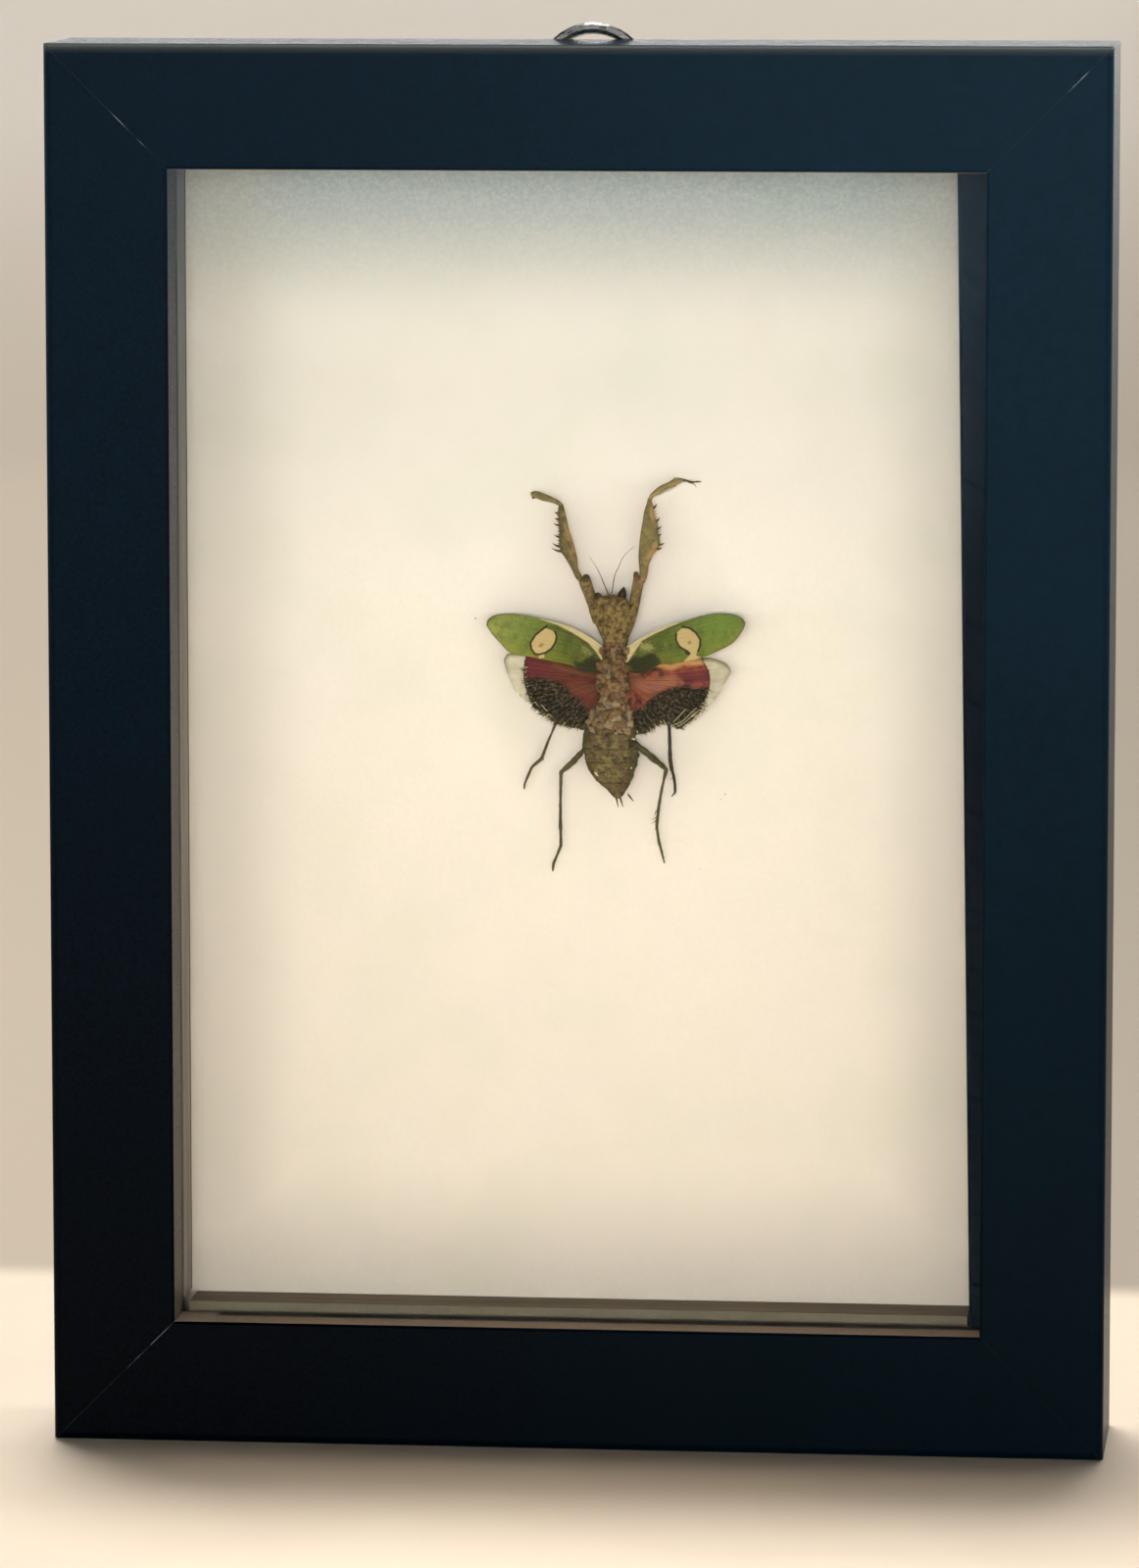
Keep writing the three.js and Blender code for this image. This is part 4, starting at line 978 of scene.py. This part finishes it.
def leg_look():
    look = Look("insect_leg_look", 0.6, 0.35)
    mottle, fine = look.noise(0.9, 4, 0.65, warp=0.5), look.noise(0.3, 4, 0.7)
    colour = look.mix(mottle.ease(0.35, 0.65), (70, 62, 34), (106, 100, 60))
    colour.lay(look.noise(1.4, 3, shift=0.4).ease(0.5, 0.68, 0, 0.7), (122, 96, 64))
    colour.lay(fine.ease(0.45, 0.75, 0, 0.35), (140, 132, 92))
    colour.lay(look.value("green"), look.mix(mottle, (78, 86, 36), (116, 124, 62)))
    colour.lay(look.value("tan"), look.mix(mottle.ease(0.35, 0.65), (84, 68, 40), (150, 126, 84)))
    colour.lay(look.value("pale"), look.mix(mottle, (170, 150, 108), (196, 180, 134)))
    colour.lay(look.value("dark"), look.mix(fine, (36, 28, 16), (62, 50, 30)))
    edge = look.value("across").ease(-0.1, 0.6, 0, 0.9) * look.value("flushed")
    patch = look.noise(2.2, 3, 0.6, shift=0.9).ease(0.42, 0.56)
    colour.lay(edge * patch, look.mix(fine, (150, 116, 80), (190, 160, 118)))
    colour.lay(look.noise(0.5, 3, 0.6, shift=0.3).ease(0.56, 0.7, 0, 0.6), (48, 44, 22))
    colour.lay(1.0, (0.92, 0.85, 0.66, 1), "MULTIPLY")
    return look.finish(colour, mottle + fine, 0.06, fine.ease(0.3, 0.7, 0.5, 0.7))


def blade(piece, edge_a, edge_b, lift, depth, ridge=0.0, seed=0, **values):
    """A flattened limb between two edges, rounded across, with a ridge along its middle."""
    count, sides = 70, 28
    a, b = resample(edge_a, count), resample(edge_b, count)
    middle, half = (a + b) / 2, (b - a) / 2
    angle, from_end = around(sides), np.minimum(np.arange(count), count - 1 - np.arange(count))
    across = np.cos(angle)
    bulge = np.sin(angle) * (1 + ridge * np.exp(-(across / 0.3) ** 2))
    high = np.minimum(depth, np.linalg.norm(half, axis=1) * 1.1) * np.clip(from_end / 3, 0.25, 1) ** 0.5
    x, up = (middle[:, k, None] + half[:, k, None] * across for k in (0, 1))
    points = spots(x, up, lift + high[:, None] * bulge).reshape(-1, 3)
    points[:, 1] += smooth_noise(points, 0.5, seed) * 0.05 * MM
    piece.add(points, skin_faces(count, sides), across=np.tile(across, count), **values)


def spine(piece, base, tip, lift, radius=0.12, hook=0.0, **values):
    """A thorn from a leg's edge, thick at its root."""
    base, tip = np.array(base, float), np.array(tip, float)
    middle = (base + tip) / 2 + np.array([-(tip - base)[1], (tip - base)[0]]) * hook
    joints = [(*base, lift, radius), (*middle, lift + 0.05, radius * 0.6), (*tip, lift, radius * 0.12)]
    tube(piece, resample(joints, 9), sides=8, step=0.1, **values)


# Forelegs. Blades: two edges, lift, depth and tones. Lumps: what a blob takes. Thorns: base, tip and
# darkness. Combs of small spines: first and last base, reach, margin at the ends, count, lift, radius, tones
FORELEGS = {
    "foreleg_left": {
        "blades": [
            ([(2.5, 15), (1.75, 16.6), (1, 18.2), (0.3, 20), (-0.3, 21.6), (-0.85, 22.9), (-1, 23.6)],
             [(3.6, 15.4), (3.1, 17), (2.5, 18.8), (1.8, 20.8), (1.3, 22.2), (0.85, 23.6), (0.5, 24.5)],
             1.75, 0.8, {"ridge": 0.12, "seed": 1, "tan": 0.85}),
            ([(-0.9, 23.4), (-1.5, 24.1), (-2, 25.2), (-2.6, 26.3), (-3.1, 27.1), (-3.6, 27.8),
              (-3.85, 28.6), (-3.9, 29.6), (-3.9, 30.6), (-3.95, 31.6), (-4, 32.6), (-4.1, 33.4), (-4, 34.3),
              (-3.8, 34.9)],
             [(-0.1, 23.5), (-0.6, 24.5), (-1.1, 25.5), (-1.2, 26.7), (-1.5, 28), (-1.9, 29.5),
              (-2.35, 30.8), (-2.6, 31.8), (-2.75, 32.6), (-3, 33.6), (-3.15, 34.2), (-3.3, 34.7)],
             1.7, 0.62, {"ridge": 0.15, "seed": 2, "green": 0.2, "tan": 0.2, "flushed": 0.8}),
            ([(-3.9, 34.5), (-4.9, 35), (-6.2, 35.2), (-7.2, 35.6), (-7.8, 35.85), (-8.05, 36.1)],
             [(-3.2, 34.6), (-3.8, 35.2), (-4.6, 35.65), (-6.2, 36.35), (-7.3, 36.65), (-8, 36.45)],
             1.6, 0.42, {"seed": 4, "pale": 0.3})],
        "lumps": [(0.1, 24.05, 1.8, 0.5, 0.55, 0.5, 0.5, 0.2, 0.6, 3, {"dark": 0.55}),
                  (-7.55, 35.75, 1.6, 0.32, 0.24, 0.3, 0.3, 0.3, 0.6, 6, {"dark": 0.3})],
        "thorns": [((-3.5, 27.9), (-5, 28.4), 0.55), ((-3.7, 28.6), (-4.85, 29.1), 0.575), ((-3.7, 30),
            (-4.6, 30.3), 0.575), ((-3.75, 31.7), (-4.65, 31.95), 0.8), ((-3.8, 32.5), (-4.5, 32.75), 0.8),
            ((-3.85, 33.4), (-4.55, 33.65), 0.825)],
        "combs": [
            ((-3.75, 28.2), (-3.95, 33.8), (-0.42, 0.1), 0.05, 12, 1.45, 0.1, {"dark": 0.3, "pale": 0.2}),
            ((-4.6, 34.95), (-7.4, 35.75), (0.08, -0.24), 0.1, 14, 1.5, 0.06, {"dark": 0.6})],
        "hook": 0.08,
    },
    "foreleg_right": {
        "blades": [
            ([(5, 15.4), (5.4, 17), (5.9, 18.8), (6.35, 20.8), (6.6, 22.2), (6.9, 23.8), (7, 25)],
             [(6.05, 15), (6.8, 16.6), (7.35, 18.2), (7.8, 20), (8.1, 21.6), (8.35, 22.9), (8.5, 24)],
             1.75, 0.8, {"ridge": 0.12, "seed": 7, "tan": 0.8}),
            ([(7.55, 23.4), (7.75, 24.4), (7.85, 25.2), (7.7, 26.6), (7.7, 27.6), (7.75, 28.6), (7.9, 30),
              (8.1, 31.4), (8.3, 32.5), (8.5, 33.8), (8.85, 34.9), (9.05, 35.8)],
             [(8.6, 23.4), (8.95, 24.4), (9.1, 25.2), (9.2, 26.1), (9.5, 26.8), (9.8, 27.5), (10.4, 28.2),
              (10.75, 28.9), (10.75, 29.8), (10.6, 30.5), (10.5, 31.3), (10.4, 32.2), (10.1, 33),
              (9.95, 33.8), (9.85, 34.6), (9.6, 35.3)],
             1.7, 0.62, {"ridge": 0.15, "seed": 9, "green": 0.25, "tan": 0.3, "pale": 0.14, "flushed": 1.0}),
            ([(9, 35.5), (9.3, 36.2), (9.8, 36.75), (10.3, 37.2), (11, 37.65), (12, 38.1), (12.8, 38.6),
              (13.5, 38.75), (14.3, 38.6)],
             [(9.6, 35.3), (9.75, 35.8), (10.3, 36.15), (11, 36.6), (12, 37.15), (13, 37.6), (13.6, 37.9),
              (14.3, 38.25)],
             1.6, 0.42, {"seed": 10, "pale": 0.4})],
        "lumps": [(7.3, 24.5, 1.8, 0.4, 0.6, 0.45, -0.15, 0.2, 0.6, 8, {"dark": 0.35})],
        "thorns": [((10.5, 29), (11.45, 29.25), 0.4), ((10.5, 28.4), (11.1, 28.6), 0.375), ((10.4, 31.3),
            (11, 31.7), 0.65), ((10.2, 32.4), (10.75, 32.95), 0.675), ((9.8, 34.3), (10.35, 34.95), 0.7),
            ((10.5, 30.3), (10.95, 30.6), 0.4)],
        "combs": [((10.65, 28.9), (9.9, 34), (0.36, 0.14), 0.05, 12, 1.45, 0.09, {"dark": 0.3, "pale": 0.3}),
                  ((10.3, 36.15), (13.4, 37.8), (0.12, -0.22), 0.1, 14, 1.5, 0.06, {"dark": 0.5})],
        "hook": -0.08,
    },
}
# The right foot: x, up, lift and radius
RIGHT_TARSUS = [(14.1, 38.42, 1.6, 0.2), (14.7, 38.3, 1.6, 0.14), (15.2, 38.12, 1.6, 0.17),
    (15.9, 38.14, 1.6, 0.11), (16.2, 38.2, 1.55, 0.13), (16.75, 38.2, 1.5, 0.06)]


def add_foreleg(name, material):
    leg, piece = FORELEGS[name], Piece()
    for edge_a, edge_b, lift, depth, tones in leg["blades"]:
        blade(piece, edge_a, edge_b, lift, depth, **tones)
    for *shape, tones in leg["lumps"]:
        blob(piece, *shape, **tones)
    for base, tip, dark in leg["thorns"]:
        spine(piece, base, tip, 1.75, 0.22, leg["hook"], dark=dark)
    for first, last, reach, margin, count, lift, radius, tones in leg["combs"]:
        for share in np.linspace(margin, 1 - margin, count):
            start = np.array(first) * (1 - share) + np.array(last) * share
            spine(piece, start, start + np.array(reach), lift, radius, **tones)
    if name == "foreleg_right":
        tube(piece, RIGHT_TARSUS, sides=8, step=0.1, wobble=0.2, dark=0.6)
        spine(piece, (15.4, 38.0), (16.05, 37.35), 1.5, 0.1, 0.15, dark=0.5)
        spine(piece, (13.2, 38.6), (12.7, 38.85), 1.6, 0.08, dark=0.4)
    piece.make(name + "_whole", [name], "insect_leg", material)


# Walking legs: x, up, lift and radius at each joint from the body to the claw, spurs, stoutness and tones
WALKING_LEGS = {
    "middle_leg_left": (
        [(2.4, 8.4, 1.2, 0.3), (-1.5, 6, 1, 0.28), (-4.5, 2.6, 0.9, 0.2), (-5, 1.4, 0.9, 0.13),
         (-5.6, 0, 0.9, 0.17), (-6.2, -1.6, 0.8, 0.2), (-6.6, -2.6, 0.8, 0.22), (-7.3, -3.2, 0.75, 0.2),
         (-8, -3.85, 0.7, 0.16), (-8.5, -5, 0.65, 0.17), (-8.85, -5.8, 0.6, 0.14), (-9.1, -6.4, 0.5, 0.15),
         (-9.15, -7.1, 0.5, 0.08)],
        [((-8, -3.9), (-8.35, -4.25)), ((-6.5, -2.3), (-6.2, -3))],
        1.12, {"dark": 0.5}),
    "middle_leg_right": (
        [(6.2, 8.4, 1.2, 0.3), (9, 6, 1, 0.28), (12, 3.4, 0.9, 0.25), (12.15, 1.6, 0.9, 0.16),
         (12.2, 0, 0.9, 0.2), (12.25, -2.5, 0.8, 0.22), (12.5, -4, 0.75, 0.19), (12.8, -5, 0.7, 0.15),
         (12.95, -6.2, 0.65, 0.16), (12.95, -7.3, 0.6, 0.11), (12.45, -7.9, 0.5, 0.05)],
        [((12.7, -4.8), (12.3, -5.4))],
        1.3, {"dark": 1.0}),
    "hind_leg_left": (
        [(0.3, 2.4, 1.3, 0.3), (-0.15, 1, 1, 0.28), (-0.35, -1.1, 0.95, 0.24), (-1.1, -2, 0.95, 0.36),
         (-1.9, -2.9, 0.95, 0.42), (-2.8, -3.7, 0.95, 0.34), (-3.7, -4.5, 0.9, 0.24),
         (-3.75, -6.2, 0.8, 0.2), (-3.8, -8.5, 0.8, 0.17), (-3.8, -10.6, 0.8, 0.2), (-3.8, -12.4, 0.8, 0.23),
         (-3.75, -13.8, 0.8, 0.17), (-3.75, -15.3, 0.7, 0.2), (-4.3, -16.7, 0.65, 0.15),
         (-4.85, -18, 0.6, 0.18), (-4.95, -19.1, 0.5, 0.1)],
        [((-3.8, -12.1), (-4.2, -13)), ((-3.8, -12.3), (-3.5, -13.1)), ((-3.9, -9), (-4.15, -9.5))],
        1.12, {"dark": 0.55, "green": 0.15}),
    "hind_leg_right": (
        [(6.9, 0.3, 2.4, 0.4), (7.9, -0.6, 2, 0.42), (9, -1.5, 1.7, 0.44), (10, -2.4, 1.4, 0.42),
         (11, -3.2, 1.2, 0.34), (11.7, -3.9, 1.1, 0.26), (11.3, -5.6, 1, 0.16), (10.9, -7.6, 1, 0.19),
         (10.6, -9.4, 0.9, 0.2), (10.3, -12.2, 0.8, 0.2), (10.45, -13.4, 0.75, 0.17),
         (10.6, -14.5, 0.7, 0.19), (11, -16, 0.6, 0.15), (11.4, -17.7, 0.5, 0.1)],
        [((10.5, -10.6), (9.5, -11.3)), ((10.3, -11.2), (9.5, -11.9)), ((10.3, -12), (9.9, -12.8)),
         ((10.2, -10), (9.85, -10.8))],
        1.12, {"dark": 0.45, "green": 0.4}),
}


def add_walking_leg(name, material):
    piece = Piece()
    joints, spurs, stout, tones = WALKING_LEGS[name]
    thick = [(*joint[:3], joint[3] * stout) for joint in joints]
    tube(piece, thick, sides=14, step=0.12, wobble=0.22, seed=len(name), **tones)
    for base, tip in spurs:
        spine(piece, base, tip, 0.8, 0.09, 0.1, dark=0.6)
    rng = random.Random(name)
    line = resample(joints, 90)
    for k in range(24, 86):
        along = line[k + 1, :2] - line[k - 1, :2]
        along /= np.linalg.norm(along)
        side = np.array([-along[1], along[0]]) * rng.choice((-1, 1))
        start = line[k, :2] + side * line[k, 3] * 0.7
        tip = start + side * rng.uniform(0.08, 0.2) + along * rng.uniform(0.08, 0.22)
        tube(piece, [(*start, line[k, 2], 0.03), (*tip, line[k, 2], 0.008)], sides=4, step=1, dark=0.6)
    piece.make(name + "_whole", [name], "insect_leg", material)


# Loose on the card: a broken bit of a leg as x, up, lift and radius, and specks as x, up and size
BROKEN_LEG = [(6, -7.65, 0.2, 0.08), (6.3, -8.05, 0.2, 0.13), (6.85, -8.75, 0.15, 0.04)]
SPECKS = [(-16.3, 17.8, 0.13), (20.2, -7.5, 0.1), (19.6, -8.3, 0.08), (22, -83.6, 0.2), (-5.1, -36.1, 0.07),
    (16.6, -18.6, 0.07)]


def add_specks(material):
    piece = Piece()
    tube(piece, BROKEN_LEG, sides=8, step=0.1, dark=1.0)
    for x, up, size in SPECKS:
        blob(piece, x, up, size * 0.4, size, size * 0.6, size * 0.4, x, 0.4, size, int(x), dark=0.5)
    piece.make("specks", [], "insect_leg", material)


def add_mantis():
    for name in FOREWINGS:
        add_forewing(name)
    for name in HINDWINGS:
        add_hindwing(name)
    add_fray()
    body, leg = body_look(), leg_look()
    add_body(body)
    add_antennae(body)
    for name in FORELEGS:
        add_foreleg(name, leg)
    for name in WALKING_LEGS:
        add_walking_leg(name, leg)
    add_specks(leg)


# Floor and light

FLOOR_END = 0.115
FLOOR_REACH = 20.0


def add_stage():
    """A pale floor, greyer past the line where the backdrop starts in the photograph, and there painted
    lighter to the left and far off as painted light.
    """
    mesh = bpy.data.meshes.new("floor")
    corners = [(x * FLOOR_REACH, y * FLOOR_REACH, 0) for x, y in ((-1, -1), (1, -1), (1, 1), (-1, 1))]
    mesh.from_pydata(corners, [], [(0, 1, 2, 3)])
    add_object("floor", mesh)
    look = Look("floor_cloth", 0.9, 0.1)
    x, y, z = look.axes()
    near = look.mix(look.noise(60, 3).ease(0.35, 0.65), (247, 229, 206), (243, 224, 202))
    # Painted light: past the line the floor is lighter to the left and further off.
    side_light = x.ease(-0.25, 0.25)
    beyond = look.mix(side_light, (206, 190, 169), (168, 157, 142))
    beyond.lay(y.ease(0.6, 5.0), look.mix(side_light, (232, 221, 206), (190, 178, 164)))
    near.lay(y.ease(FLOOR_END - 0.006, FLOOR_END + 0.01), beyond)
    mesh.materials.append(look.finish(near))


def add_sun(name, source, angle, strength):
    """Even light from a wide disc far away in the direction of the source."""
    data = bpy.data.lights.new(name, "SUN")
    data.energy, data.angle = strength, angle
    add_object(name, data).matrix_world = (-Vector(source)).to_track_quat("-Z", "Y").to_matrix().to_4x4()


def add_lamp(name, place, target, width, height, power):
    data = bpy.data.lights.new(name, "AREA")
    data.shape, data.size, data.size_y, data.energy = "RECTANGLE", width, height, power
    aim = (Vector(target) - Vector(place)).to_track_quat("-Z", "Y")
    add_object(name, data).matrix_world = Matrix.Translation(place) @ aim.to_matrix().to_4x4()


def add_lights():
    """A bright band low round the room, and soft light that falls steeply from just behind the frame."""
    scene = bpy.context.scene
    scene.view_settings.view_transform = "Standard"
    scene.world = bpy.data.worlds.new("room")
    scene.world.use_nodes = True
    room = Nodes(scene.world.node_tree)
    height = room.node("SeparateXYZ", {0: room.node("TexCoord", output="Generated")}, 2)
    background = room.tree.nodes["Background"].inputs
    background["Color"].default_value = (1.0, 0.985, 0.965, 1)
    room.feed(background["Strength"], height.ease(0.03, 0.075, 14.6, 0.008))
    add_sun("steep_light", (-0.045, 0.24, 0.97), 0.26, 2.35)
    add_sun("front_light", (0, -0.99, 0.13), 0.3, 0.95)
    add_lamp("overhead", (0, 0.12, 1.1), (0, 0.1, 0), 0.5, 0.2, 3.8)
    add_lamp("back_glow", (0, 1.6, 0.5), (0, 0, 0.15), 1.6, 0.6, 0.7)


add_camera()
add_stage()
add_lights()
dress_frame()
add_mantis()
